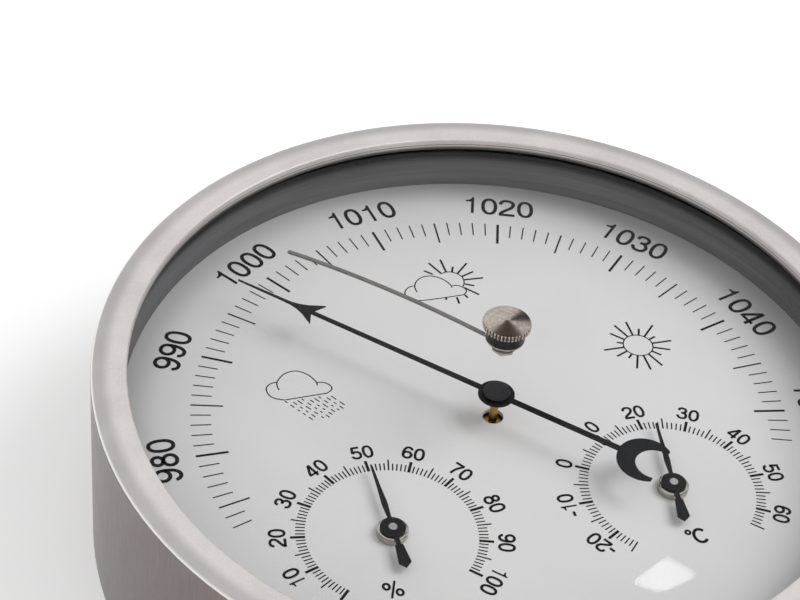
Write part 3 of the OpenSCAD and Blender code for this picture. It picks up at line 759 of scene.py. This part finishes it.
BRASS_TURNED = Finish(
    "turned_brass",
    base="#c8a566",
    shade="#8f7546",
    roughness=0.26,
    spread=0.16,
    metallic=1.0,
    grain=Grain.TURNED,
    depth_mm=0.005,
)
BRASS_SHEET = Finish(
    "rolled_brass",
    base="#c2a266",
    shade="#9a8150",
    roughness=0.33,
    spread=0.18,
    metallic=1.0,
    grain=Grain.ROLLED,
    fine=1.6,
    depth_mm=0.005,
)
SPRING = Finish(
    "spring_steel",
    base="#8b8f98",
    shade="#6a6f7c",
    roughness=0.28,
    metallic=1.0,
    grain=Grain.DRAWN,
    fine=4.0,
    depth_mm=0.002,
)
NICKEL_SILVER = Finish(
    "nickel_silver",
    base="#cfc8b6",
    shade="#aaa28d",
    roughness=0.3,
    spread=0.16,
    metallic=1.0,
    grain=Grain.TURNED,
    fine=1.5,
    depth_mm=0.005,
)
ALUMINIUM = Finish(
    "pressed_aluminium",
    base="#c3c5c7",
    shade="#a2a5a8",
    roughness=0.38,
    spread=0.16,
    metallic=1.0,
    grain=Grain.ROLLED,
    fine=1.6,
    depth_mm=0.006,
)
LAMINATE = Finish(
    "laminated_strip",
    base="#b08d57",
    shade="#8a6a3c",
    roughness=0.4,
    spread=0.2,
    metallic=0.6,
    grain=Grain.DRAWN,
    fine=2.5,
)
BIMETAL = Finish(
    "bimetal_strip",
    base="#b7a58d",
    shade="#8e8377",
    roughness=0.34,
    spread=0.16,
    metallic=1.0,
    grain=Grain.DRAWN,
    fine=2.5,
)
RUBBER = Finish(
    "black_rubber",
    base="#17171a",
    shade="#242427",
    roughness=0.6,
    spread=0.2,
    grain=Grain.MOULDED,
    fine=1.5,
    depth_mm=0.01,
)
CARRIER_PLASTIC = Finish(
    "carrier_plastic",
    base="#3b3b3d",
    shade="#2e2e30",
    roughness=0.55,
    spread=0.16,
    grain=Grain.MOULDED,
    fine=1.5,
    depth_mm=0.012,
)
COVER_PLASTIC = Finish(
    "cover_plastic",
    base="#3a3a3c",
    shade="#2b2b2d",
    roughness=0.55,
    spread=0.18,
    grain=Grain.MOULDED,
    fine=1.2,
    depth_mm=0.03,
)
FIBRE = Finish(
    "pressed_fibre",
    base="#54473f",
    shade="#3d332d",
    roughness=0.7,
    spread=0.14,
    grain=Grain.MOULDED,
    fine=2.4,
    depth_mm=0.012,
)
INK = Finish(
    "dial_ink",
    base="#0d0d0e",
    shade="#161617",
    roughness=0.5,
    spread=0.14,
    fine=6.0,
    depth_mm=0.001,
    specular=0.12,
)


def placed(name: str, data: bpy.types.ID) -> bpy.types.Object:
    """Make an object and put it into the scene.

    Args:
        name: The object's name.
        data: Its mesh, light or camera.

    Returns:
        The object.
    """
    thing = bpy.data.objects.new(name, data)
    bpy.context.scene.collection.objects.link(thing)
    return thing


def meshed(name: str, build: bmesh.types.BMesh) -> bpy.types.Object:
    """Turn a build into an object in the scene, and free the build.

    Args:
        name: The object's name, which its mesh takes too.
        build: The vertices and faces, in metres.

    Returns:
        The object.
    """
    mesh = bpy.data.meshes.new(name)
    build.to_mesh(mesh)
    build.free()
    return placed(name, mesh)


def smooth_through(points: Sequence[Point]) -> list[Point]:
    """Draw a smooth line through points.

    Args:
        points: The points.

    Returns:
        The line's points.
    """
    last = len(points) - 1
    line: list[Point] = []
    for i in range(last):
        near = [points[min(max(i + k, 0), last)] for k in (-1, 0, 1, 2)]
        for k in range(CURVE_STEPS):
            t = k / CURVE_STEPS
            weights = (
                -0.5 * t + t * t - 0.5 * t**3,
                1 - 2.5 * t * t + 1.5 * t**3,
                0.5 * t + 2 * t * t - 1.5 * t**3,
                -0.5 * t * t + 0.5 * t**3,
            )
            x = sum(w * p[0] for w, p in zip(weights, near))
            y = sum(w * p[1] for w, p in zip(weights, near))
            line.append((x, y))
    line.append(points[-1])
    return line


def oval(cx: float, cy: float, a: float, b: float, power: float = 2.0) -> list[Point]:
    """Draw a closed round or squarish oval.

    Args:
        cx: The middle's x.
        cy: The middle's y.
        a: Half its width.
        b: Half its height.
        power: 2 for an ellipse, more for a squarer one.

    Returns:
        The points.
    """
    line: list[Point] = []
    for i in range(OVAL_POINTS):
        turn = math.tau * i / OVAL_POINTS
        c, s = math.cos(turn), math.sin(turn)
        x = cx + a * math.copysign(abs(c) ** (2 / power), c)
        y = cy + b * math.copysign(abs(s) ** (2 / power), s)
        line.append((x, y))
    return line


def at_turn(centre: Point, turn: float, reach: float) -> Point:
    """Give the point at some degrees clockwise from the top and at a distance."""
    angle = math.radians(turn)
    return (centre[0] + math.sin(angle) * reach, centre[1] + math.cos(angle) * reach)


def rank_of(value: int) -> int:
    """Give 2 for a scale line at a ten, 1 at a five and 0 between them."""
    return 2 if value % 10 == 0 else 1 if value % 5 == 0 else 0


@dataclass
class Pen:
    """Printed lines and filled shapes, gathered into one flat mesh."""

    lift_mm: float = 0.03
    least_bend: float = 0.5
    nothing: float = 1e-9
    corners: list[Point] = field(default_factory=list)
    faces: list[list[int]] = field(default_factory=list)

    def fill(self, points: Sequence[Point]) -> None:
        """Fill an outline.

        Args:
            points: The outline's points, in millimetres.
        """
        start = len(self.corners)
        self.corners.extend(points)
        self.faces.append(list(range(start, start + len(points))))

    def stroke(self, points: Sequence[Point], width: float, closed: bool = False) -> None:
        """Draw a line of a width.

        Args:
            points: The line's points, in millimetres.
            width: Its width.
            closed: True where it comes back to its start.
        """
        count = len(points)
        start = len(self.corners)
        for i in range(count):
            before = points[i - 1] if (closed or i > 0) else points[i]
            after = points[(i + 1) % count] if (closed or i < count - 1) else points[i]
            into = Vector((points[i][0] - before[0], points[i][1] - before[1]))
            onward = Vector((after[0] - points[i][0], after[1] - points[i][1]))
            parts = [v.normalized() for v in (into, onward) if v.length > self.nothing]
            along = Vector((sum(v.x for v in parts), sum(v.y for v in parts))).normalized()
            bend = max(self.least_bend, along.dot(parts[0]))
            side = Vector((-along.y, along.x)) * (width / 2 / bend)
            self.corners.append((points[i][0] + side.x, points[i][1] + side.y))
            self.corners.append((points[i][0] - side.x, points[i][1] - side.y))
        for i in range(count if closed else count - 1):
            a, b = start + 2 * i, start + 2 * ((i + 1) % count)
            self.faces.append([a, a + 1, b + 1, b])

    def tick(self, centre: Point, turn: float, inner: float, outer: float, width: float) -> None:
        """Draw a scale line.

        Args:
            centre: The scale's centre.
            turn: Degrees clockwise from the top.
            inner: Its inner radius.
            outer: Its outer radius.
            width: Its width.
        """
        self.stroke([at_turn(centre, turn, r) for r in (inner, outer)], width)

    def piece(self, name: str, top: float) -> bpy.types.Object:
        """Make the mesh.

        Args:
            name: The piece's name.
            top: The height that it lies on, in metres.

        Returns:
            The object.
        """
        build = bmesh.new()
        level = top + self.lift_mm * MM
        made = [build.verts.new((x * MM, y * MM, level)) for x, y in self.corners]
        for face in self.faces:
            build.faces.new([made[i] for i in face])
        build.normal_update()
        for face in build.faces:
            if face.normal.z < 0:
                face.normal_flip()
        return meshed(name, build)


@dataclass(frozen=True)
class Numerals:
    """Plain sans numerals, drawn as lines of one thickness in a box one high."""

    stroke: float = 0.143
    narrow: float = 0.92
    advance: float = 0.72
    slim: float = 0.62
    box: float = 0.79

    def _curl(self) -> tuple[list[Point], list[Point]]:
        """Give the bowl and the arm that 6 and 9 share.

        Returns:
            The two lines, as they lie in a 6.
        """
        bowl = oval(0.395, 0.31, 0.27, 0.25)
        arm = [(0.125, 0.31), (0.12, 0.52), (0.17, 0.75), (0.28, 0.9), (0.42, 0.94), (0.55, 0.9)]
        return bowl, smooth_through(arm + [(0.63, 0.8), (0.645, 0.735)])

    def _sign(self, sign: str) -> list[Line]:
        """Give the lines of a sign that is no digit.

        Args:
            sign: One of - % ° C.

        Returns:
            Its lines, as shapes() gives them.
        """
        w = self.stroke
        if sign == "-":
            return [([(0.2, 0.36), (0.6, 0.36)], False, w)]
        if sign == "%":
            spots = ((0.1, 0.74), (0.72, 0.26))
            rings = [(oval(x, y, 0.17, 0.19), True, w * 0.8) for x, y in spots]
            return rings + [([(0.18, -0.03), (0.64, 1.03)], False, w * 0.7)]
        if sign == "°":
            return [(oval(0.42, 0.84, 0.13, 0.13), True, w * 0.75)]
        turns = [math.radians(40 + 10 * i) for i in range(29)]
        return [([(0.4 + 0.36 * math.cos(t), 0.5 + 0.44 * math.sin(t)) for t in turns], False, w)]

    def shapes(self, sign: str) -> list[Line]:
        """Give a sign's lines.

        Args:
            sign: A digit, or one of - % ° C.

        Returns:
            Lines with whether each is closed and its width; width 0 is a filled shape.
        """
        w = self.stroke
        if sign == "0":
            return [(oval(0.395, 0.5, 0.272, 0.4375, 2.3), True, w)]
        if sign == "1":
            stem = [(0.144, 0.71), (0.386, 0.71), (0.386, 0.0), (0.511, 0.0), (0.511, 1.0)]
            flag = [(0.415, 1.0), (0.38, 0.9), (0.3, 0.83), (0.2, 0.8), (0.144, 0.798)]
            return [(stem + flag, True, 0.0)]
        if sign == "2":
            top = [(0.1, 0.7), (0.14, 0.84), (0.26, 0.93), (0.4, 0.945), (0.55, 0.91), (0.65, 0.8)]
            low = [(0.65, 0.67), (0.58, 0.54), (0.44, 0.42), (0.26, 0.29), (0.14, 0.17)]
            foot = [(0.04, 0.062), (0.72, 0.062)]
            return [(smooth_through(top + low + [(0.1, 0.062)]), False, w), (foot, False, w)]
        if sign == "3":
            top = [(0.12, 0.72), (0.15, 0.85), (0.27, 0.935), (0.39, 0.94), (0.53, 0.9)]
            waist = [(0.6, 0.79), (0.6, 0.71), (0.53, 0.59), (0.4, 0.545), (0.31, 0.54)]
            low = [(0.31, 0.54), (0.42, 0.545), (0.56, 0.5), (0.65, 0.38)]
            side = [(0.66, 0.27), (0.61, 0.14), (0.5, 0.075), (0.37, 0.06)]
            bows = (top + waist, low + side + [(0.22, 0.09), (0.12, 0.2), (0.1, 0.29)])
            return [(smooth_through(bow), False, w) for bow in bows]
        if sign == "4":
            stem, slope = [(0.53, 0.0), (0.53, 1.0)], [(0.085, 0.27), (0.495, 0.96)]
            bar = [(0.03, 0.235), (0.72, 0.235)]
            return [(stem, False, w), (bar, False, w * 0.88), (slope, False, w)]
        if sign == "5":
            back = [(0.66, 0.94), (0.205, 0.94), (0.14, 0.47)]
            bowl = [(0.14, 0.47), (0.24, 0.56), (0.38, 0.595), (0.53, 0.56)]
            side = [(0.64, 0.45), (0.66, 0.31), (0.62, 0.17), (0.51, 0.085)]
            foot = [(0.37, 0.06), (0.22, 0.09), (0.12, 0.18), (0.1, 0.26)]
            return [(back, False, w), (smooth_through(bowl + side + foot), False, w)]
        if sign == "7":
            leg = [(0.7, 0.93), (0.56, 0.74), (0.44, 0.52), (0.36, 0.28), (0.325, 0.0)]
            return [([(0.06, 0.94), (0.74, 0.94)], False, w), (smooth_through(leg), False, w)]
        if sign == "8":
            rings = (oval(0.395, 0.745, 0.215, 0.195), oval(0.395, 0.3, 0.27, 0.24))
            return [(ring, True, w) for ring in rings]
        if sign == "6":
            bowl, arm = self._curl()
            return [(bowl, True, w), (arm, False, w)]
        if sign == "9":
            bowl, arm = ([(self.box - x, 1.0 - y) for x, y in line] for line in self._curl())
            return [(bowl, True, w), (arm, False, w)]
        return self._sign(sign)

    def write(self, pen: Pen, text: str, middle: Point, turn: float, height: float) -> None:
        """Write a label.

        Args:
            pen: What draws it.
            text: The label.
            middle: Where the middle of its height and width goes, in millimetres.
            turn: Degrees clockwise that its top leans.
            height: The height of a digit, in millimetres.
        """
        c, s = math.cos(math.radians(turn)), math.sin(math.radians(turn))
        short = [self.slim if sign in "-°" else 1.0 for sign in text]
        total = sum(self.advance * part for part in short)
        reach = -total / 2
        for sign, part in zip(text, short):
            left = reach + (self.advance * part - self.box * self.narrow) / 2
            for line, closed, width in self.shapes(sign):
                moved: list[Point] = []
                for x, y in line:
                    u, v = (x * self.narrow + left) * height, (y - 0.5) * height
                    moved.append((middle[0] + u * c + v * s, middle[1] - u * s + v * c))
                if width:
                    pen.stroke(moved, width * height, closed)
                else:
                    pen.fill(moved)
            reach += self.advance * part


def dress(node: str, material: bpy.types.Material) -> None:
    """Give a CAD node its finish.

    Args:
        node: The node's name.
        material: The finish.
    """
    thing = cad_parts[node]
    if not thing.material_slots:
        thing.data.materials.append(material)
    for slot in thing.material_slots:
        slot.material = material
    LOG.info("dressed %s with %s", node, material.name)


def middle_of(node: str) -> Point:
    """Give the middle of a node's box as seen from the front, in millimetres."""
    low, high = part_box(node)
    return ((low.x + high.x) / 2 / MM, (low.y + high.y) / 2 / MM)


def add_print(pen: Pen, name: str) -> None:
    """Lay a print on the dial, where it rides with the case.

    Args:
        pen: What was drawn.
        name: The piece's name.
    """
    thing = pen.piece(name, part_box("dial_plate")[1].z)
    thing.data.materials.append(INK.make())
    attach(thing, "case")
    LOG.info("printed %s, %d faces", name, len(thing.data.polygons))


@dataclass
class CaseParts:
    """The steel case, its rings, the rear cover and the screws."""

    def build(self) -> None:
        """Dress the case's nodes."""
        dress("case_shell", CaseSteel().make())
        dress("window_gasket", RUBBER.make())
        dress("spacer_ring", DarkWall().make())
        dress("carrier_ring", CARRIER_PLASTIC.make())
        dress("rear_cover", COVER_PLASTIC.make())
        dress("case_lugs", STEEL_TAB.make())
        dress("rear_cover_screws", STEEL_SCREW.make())


@dataclass
class WindowParts:
    """The domed window with the knob, the washers, the nut and the set hand."""

    def build(self) -> None:
        """Dress the window's nodes."""
        dress("window_glass", WindowClear().make())
        dress("set_knob", KnobNickel().make(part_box("set_knob")[1].z / MM))
        dress("knob_washer", NICKEL.make())
        dress("glass_bush", COVER_PLASTIC.make())
        dress("friction_washer", FIBRE.make())
        dress("set_hand", HAND_STEEL.make())
        dress("set_hand_nut", NICKEL.make())


@dataclass
class BarometerScale:
    """The large scale in hectopascals, with its numerals."""

    centre: Point = (0.0, 0.0)
    low: int = 973
    high: int = 1053
    top: int = 1013
    step: float = 2.7
    outer: float = 50.0
    long_inner: float = 44.65
    short_inner: float = 46.62
    height: float = 4.62
    base_r: float = 52.75
    widths: tuple[float, float, float] = (0.22, 0.3, 0.46)

    def build(self) -> None:
        """Draw the ticks and the numerals."""
        ticks, labels, digits = Pen(), Pen(), Numerals()
        reach = self.base_r + self.height / 2
        for value in range(self.low, self.high + 1):
            turn = (value - self.top) * self.step
            rank = rank_of(value)
            inner = self.long_inner if rank else self.short_inner
            ticks.tick(self.centre, turn, inner, self.outer, self.widths[rank])
            if rank == 2:
                middle = at_turn(self.centre, turn, reach)
                digits.write(labels, str(value), middle, turn, self.height)
        add_print(ticks, "barometer_ticks")
        add_print(labels, "barometer_numerals")


@dataclass
class SmallScale:
    """A small round scale, with its labels and its sign."""

    name: str
    centre: Point
    low: int
    high: int
    top: int
    step: float
    inner: float
    short_outer: float
    outer: float
    label_r: float
    labels: tuple[int, ...]
    sign: str
    sign_at: Point
    height: float = 2.68
    sign_height: float = 3.1
    stroke: float = 0.168
    widths: tuple[float, float, float] = (0.22, 0.25, 0.48)

    def build(self) -> None:
        """Draw the ticks, the labels and the sign."""
        ticks, labels, digits = Pen(), Pen(), Numerals(stroke=self.stroke)
        for value in range(self.low, self.high + 1):
            turn = (value - self.top) * self.step
            rank = rank_of(value)
            outer = self.outer if rank else self.short_outer
            ticks.tick(self.centre, turn, self.inner, outer, self.widths[rank])
        for value in self.labels:
            turn = (value - self.top) * self.step
            middle = at_turn(self.centre, turn, self.label_r)
            digits.write(labels, str(value), middle, turn, self.height)
        digits.write(labels, self.sign, self.sign_at, 0.0, self.sign_height)
        add_print(ticks, self.name + "_ticks")
        add_print(labels, self.name + "_numerals")


@dataclass
class WeatherSigns:
    """The three line drawings: a rain cloud, a sun behind a cloud, and a sun."""

    line: float = 0.2
    bold: float = 0.36
    rain: float = 0.19
    rain_rows: int = 9
    rain_at: Point = (-33.1, 10.4)
    rain_gap: float = 0.95
    rain_slope: Point = (0.56, -0.83)
    rain_low: float = 5.2
    rain_right: float = -23.9
    half_at: Point = (3.0, 33.9)
    full_at: Point = (30.3, 11.6)
    full_r: float = 2.6

    def _sun(self, pen: Pen, centre: Point, rays: Rays) -> None:
        """Draw rays round a centre.

        Args:
            pen: What draws them.
            centre: The sun's centre.
            rays: For each angle its inner and outer radius.
        """
        for turn, ends in rays.items():
            c, s = math.cos(math.radians(turn)), math.sin(math.radians(turn))
            pen.stroke([(centre[0] + c * r, centre[1] + s * r) for r in ends], self.bold)

    def _outline(self, pen: Pen, *lines: Sequence[Point]) -> None:
        """Draw a cloud's curves.

        Args:
            pen: What draws them.
            lines: The points of each curve.
        """
        for points in lines:
            pen.stroke(smooth_through(points), self.line)

    def _rain(self, pen: Pen) -> None:
        """Draw the cloud with its rain.

        Args:
            pen: What draws them.
        """
        left = [(-33.2, 14.9), (-34.4, 14.7), (-35.3, 13.8), (-35.3, 12.4), (-34.6, 11.3)]
        arc = [(-33.3, 13.0), (-33.4, 14.1), (-33.0, 15.2), (-31.5, 16.6), (-29.5, 16.9)]
        arc_end = [(-27.8, 15.7), (-26.8, 13.8), (-26.8, 12.8)]
        right = [(-26.7, 13.5), (-25.6, 13.3), (-24.7, 12.4), (-24.7, 11.4), (-25.7, 10.7)]
        base = [(-25.7, 10.7), (-29.5, 10.6), (-33.0, 10.5)]
        self._outline(pen, left + [(-33.0, 10.5)], arc + arc_end, right, base)
        lean, fall = self.rain_slope
        for row in range(self.rain_rows):
            x, y = self.rain_at[0] + row * self.rain_gap, self.rain_at[1]
            low = self.rain_low + row * 0.12
            reach = 0.2 + (row * 0.61) % 0.9
            while y + fall * reach > low and x + lean * reach < self.rain_right:
                size = 0.55 + 0.6 * ((row * 5 + int(reach * 3)) % 3) / 2
                ends = [(x + lean * r, y + fall * r) for r in (reach, reach + size)]
                pen.stroke(ends, self.rain)
                reach += size + 0.7

    def _half_sun(self, pen: Pen) -> None:
        """Draw the sun that looks out from behind a cloud.

        Args:
            pen: What draws it.
        """
        left = [(-3.6, 33.9), (-4.6, 33.8), (-5.6, 33.0), (-5.9, 32.0), (-5.4, 30.9), (-4.3, 30.1)]
        arc = [(-3.7, 32.2), (-3.7, 33.6), (-3.0, 35.0), (-1.6, 35.9), (0.0, 35.9), (1.6, 34.9)]
        right = [(3.0, 32.8), (4.2, 32.4), (5.0, 31.4), (4.9, 30.6), (4.2, 30.0)]
        base = [(4.2, 30.0), (0.6, 29.9), (-2.9, 29.9), (-4.3, 30.1)]
        rim = [(1.9, 36.2), (3.4, 36.4), (4.7, 35.7), (5.4, 34.5), (5.3, 33.1), (4.8, 32.1)]
        self._outline(pen, left, arc + [(2.6, 33.3), (2.8, 32.2)], right, base, rim)
        turns = (137.0, 114.0, 91.0, 67.0, 44.0, 20.0, -2.0, -27.0, -48.0, -70.0, -92.0, -116.0)
        inner = (3.5, 2.5, 2.5, 2.5, 2.5, 2.5, 2.5, 2.6, 2.8, 4.2, 4.3, 4.6)
        outer = (5.3, 6.0, 6.0, 4.0, 6.0, 5.1, 6.0, 4.3, 5.9, 5.1, 6.0, 5.1)
        self._sun(pen, self.half_at, dict(zip(turns, zip(inner, outer))))

    def _full_sun(self, pen: Pen) -> None:
        """Draw the plain sun.

        Args:
            pen: What draws it.
        """
        pen.stroke(oval(*self.full_at, self.full_r, self.full_r), self.line, True)
        outer = (6.2, 4.0, 6.2, 4.3, 6.1, 6.1, 5.4, 3.7, 6.3, 5.0, 3.9, 5.9, 6.2, 6.1, 4.4, 5.6)
        turn = 360.0 / len(outer)
        self._sun(pen, self.full_at, {turn * i: (self.full_r, r) for i, r in enumerate(outer)})

    def build(self) -> None:
        """Draw the three signs."""
        pen = Pen()
        self._rain(pen)
        self._half_sun(pen)
        self._full_sun(pen)
        add_print(pen, "weather_signs")


@dataclass
class DialParts:
    """The dial with all that is printed on it."""

    small_x: float = 23.6
    small_y: float = 21.7

    def build(self) -> None:
        """Dress the dial and print it."""
        dress("dial_plate", DialLacquer().make())
        BarometerScale().build()
        SmallScale(
            name="hygrometer",
            centre=(-self.small_x, -self.small_y),
            low=0,
            high=100,
            top=50,
            step=2.7,
            inner=13.65,
            short_outer=15.15,
            outer=16.0,
            label_r=18.0,
            labels=tuple(range(10, 101, 10)),
            sign="%",
            sign_at=(-26.6, -32.7),
        ).build()
        SmallScale(
            name="thermometer",
            centre=(self.small_x, -self.small_y),
            low=-25,
            high=65,
            top=20,
            step=3.0,
            inner=13.68,
            short_outer=15.2,
            outer=16.08,
            label_r=17.9,
            labels=tuple(range(-20, 61, 10)),
            sign="°C",
            sign_at=(self.small_x, -32.2),
        ).build()
        WeatherSigns().build()


@dataclass
class BarometerParts:
    """The pointer with its works: plates, sector, pinion, rocker and capsule."""

    brass_sheet: tuple[str, ...] = ("base_plate", "lower_plate", "upper_plate", "sector_gear")
    brass_turned: tuple[str, ...] = (
        "pointer_pipe",
        "arbor_pinion",
        "hairspring_collet",
        "hairspring_stud",
        "base_pillars",
        "plate_pillars",
        "dial_pillars",
        "rocker_fork",
        "capsule_lever",
    )
    steel: tuple[str, ...] = (
        "pointer_arbor",
        "sector_staff",
        "sector_pin",
        "rocker_shaft",
        "capsule_post",
    )
    screws: tuple[str, ...] = ("bracket_screws", "movement_screws")
    capsule: tuple[str, ...] = ("capsule_base", "capsule_diaphragm", "capsule_boss")

    def _flexing_diaphragm(self) -> None:
        """Put a copy of the diaphragm's mesh in the scene and hide the solid one."""
        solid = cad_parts["capsule_diaphragm"]
        flexing = placed("flexing_diaphragm", solid.data.copy())
        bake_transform(flexing)
        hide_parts("capsule_diaphragm")

    def build(self) -> None:
        """Dress the barometer's nodes."""
        dress("pressure_pointer", BLACK_HAND.make())
        dress("pointer_cap", BLACK_CAP.make())
        for node in self.brass_sheet:
            dress(node, BRASS_SHEET.make())
        for finish, nodes in ((BRASS_TURNED, self.brass_turned), (STEEL_BRIGHT, self.steel)):
            for node in nodes:
                dress(node, finish.make(middle_of(node)))
        for node in self.screws:
            dress(node, STEEL_SCREW.make())
        for node in self.capsule:
            dress(node, NICKEL_SILVER.make(middle_of(node)))
        self._flexing_diaphragm()
        dress("rocker_bracket", BRASS_SHEET.make())
        dress("hairspring", SPRING.make())


@dataclass
class SmallInstrument:
    """A hygrometer or thermometer works with its pointer."""

    name: str
    strip: Finish

    def build(self) -> None:
        """Dress its nodes."""
        finishes = {
            "pointer": BLACK_HAND,
            "staff": STEEL_BRIGHT,
            "bush": NICKEL,
            "cup": ALUMINIUM,
            "coil": self.strip,
            "collet": BRASS_TURNED,
            "bridge": BRASS_SHEET,
        }
        centre = middle_of(f"{self.name}_cup")
        for part, finish in finishes.items():
            dress(f"{self.name}_{part}", finish.make(centre))


@dataclass(frozen=True)
class Card:
    """A bright or dark card beside the object that shows only in gloss, in metres."""

    name: str
    corners: tuple[Place, ...]
    glow: float = 1.0
    tint: str = "#ffffff"

    def build(self) -> None:
        """Hang the card."""
        build = bmesh.new()
        build.faces.new([build.verts.new(corner) for corner in self.corners])
        card = meshed(self.name, build)
        card.visible_camera = False
        card.visible_diffuse = False
        card.visible_shadow = False
        card.visible_transmission = False
        material, graph = fresh(self.name)
        graph.show(graph.emission({"Color": paint(self.tint), "Strength": self.glow}))
        card.data.materials.append(material)


WINDOW_CARD = Card(
    "window_card",
    (
        (0.268, 0.094, 0.670),
        (0.321, 0.125, 0.642),
        (0.352, 0.095, 0.633),
        (0.303, 0.075, 0.659),
    ),
    glow=28.0,
)
BEZEL_CARD = Card(
    "bezel_card",
    ((0.75, 0.75, 0.56), (0.31, 1.01, 0.56), (0.26, 0.84, 0.82), (0.62, 0.62, 0.82)),
    glow=0.74,
)


@dataclass
class KnobCards:
    """The cards that the knob's turned head mirrors: wedges of directions, in metres."""

    wedges: tuple[tuple[str, float, float, str], ...] = (
        ("knob_dark_card", -160.0, -58.0, "#4a403b"),
        ("knob_bright_card", -48.0, -18.0, "#d8d8dc"),
        ("knob_black_card", -14.0, 30.0, "#151516"),
    )
    away: float = 0.06
    reach: float = 0.034
    steps: int = 6

    def build(self, eye: Place) -> None:
        """Hang the cards where the camera sees them in the head.

        Args:
            eye: The camera's place, in metres.
        """
        top = Vector((0.0, 0.0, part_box("set_knob")[1].z))
        view = (Vector(eye) - top).normalized()
        apex = top + Vector((-view.x, -view.y, view.z)) * self.away
        along_x, along_y = Vector((view.z, 0.0, view.x)), Vector((0.0, view.z, view.y))
        for name, first, last, tint in self.wedges:
            corners = [tuple(apex)]
            for step in range(self.steps + 1):
                turn = math.radians(first + (last - first) * step / self.steps)
                lean = along_x * math.cos(turn) + along_y * math.sin(turn)
                corners.append(tuple(apex + lean * self.reach))
            Card(name, tuple(corners), tint=tint).build()


@dataclass
class Studio:
    """Plain pale floor, soft light and the camera, in metres, with its lean in degrees."""

    floor_half: float = 3.0
    floor_gap: float = 0.0002
    floor_glow: float = 0.35
    floor_pale: str = "#f4f4f4"
    floor_low: str = "#efefef"
    sky: float = 0.69
    key_watts: float = 4.2
    key_size: float = 0.56
    key_at: Place = (0.62, -0.02, 0.72)
    key_aim: Place = (0.0, 0.0, 0.025)
    lens: float = 97.5435
    sensor: float = 36.0
    near: float = 0.01
    far: float = 50.0
    eye: Place = (-0.104923, -0.236090, 0.275853)
    lean: Place = (48.37174, -4.58519, -16.04009)

    @staticmethod
    def _seen(graph: Graph) -> Shade:
        """Give 1 for rays that show the background: from the camera, in gloss and through glass.

        Args:
            graph: The graph to add to.

        Returns:
            0 or 1.
        """
        path = graph.add("ShaderNodeLightPath")
        names = ("Is Camera Ray", "Is Glossy Ray", "Is Transmission Ray")
        camera, gloss, through = (Shade(graph, path.outputs[name]) for name in names)
        return (camera + gloss + through).over(0.0, 1.0)

    def _floor(self) -> None:
        """Lay the floor under the rear rim."""
        build = bmesh.new()
        bmesh.ops.create_grid(build, x_segments=4, y_segments=4, size=self.floor_half)
        floor = meshed("studio_floor", build)
        floor.location.z = -self.floor_gap
        material, graph = fresh("floor_white")
        grain = graph.noise(graph.place(), 0.02, 3.0)
        paper = graph.blend(grain, paint(self.floor_pale), paint(self.floor_low))
        matt = graph.node("ShaderNodeBsdfDiffuse", None, {"Color": paper})
        dark, glow = (graph.emission({"Strength": strength}) for strength in (0.0, self.floor_glow))
        lifted = graph.node("ShaderNodeMixShader", None, {0: self._seen(graph), 1: dark, 2: glow})
        graph.show(graph.node("ShaderNodeAddShader", None, {0: matt, 1: lifted}))
        floor.data.materials.append(material)

    def _world(self) -> None:
        """Light the whole softly and show white behind."""
        world = bpy.data.worlds.new("studio_world")
        bpy.context.scene.world = world
        world.use_nodes = True
        graph = Graph(world.node_tree)
        strength = self.sky + self._seen(graph) * (1.0 - self.sky)
        white = graph.node("ShaderNodeBackground", None, {"Strength": strength})
        graph.show(white, "ShaderNodeOutputWorld")

    def _key_lamp(self) -> None:
        """Hang a square soft lamp that looks at the dial and shows in no gloss."""
        light = bpy.data.lights.new("key_lamp", "AREA")
        light.shape = "SQUARE"
        light.size = self.key_size
        light.energy = self.key_watts
        lamp = placed("key_lamp", light)
        lamp.location = self.key_at
        lamp.visible_glossy = False
        aim = Vector(self.key_aim) - Vector(self.key_at)
        lamp.rotation_euler = aim.to_track_quat("-Z", "Y").to_euler()

    def _camera(self) -> None:
        """Set the camera where the photograph was taken from."""
        data = bpy.data.cameras.new("photo_camera")
        data.lens = self.lens
        data.sensor_width = self.sensor
        data.clip_start = self.near
        data.clip_end = self.far
        camera = placed("photo_camera", data)
        camera.location = self.eye
        camera.rotation_euler = Euler([math.radians(a) for a in self.lean], "XYZ")
        bpy.context.scene.camera = camera

    def build(self) -> None:
        """Set up the floor, the light, the cards, the camera and the plain view."""
        self._floor()
        self._world()
        self._key_lamp()
        WINDOW_CARD.build()
        BEZEL_CARD.build()
        KnobCards().build(self.eye)
        self._camera()
        bpy.context.scene.view_settings.view_transform = "Standard"


def main() -> None:
    """Dress every sub-assembly and set up the studio."""
    logging.basicConfig(level=logging.INFO, format="%(message)s")
    parts = (
        CaseParts(),
        WindowParts(),
        DialParts(),
        BarometerParts(),
        SmallInstrument("hygrometer", LAMINATE),
        SmallInstrument("thermometer", BIMETAL),
        Studio(),
    )
    for part in parts:
        part.build()
        LOG.info("built %s", type(part).__name__)


if __name__ == "__main__":
    main()
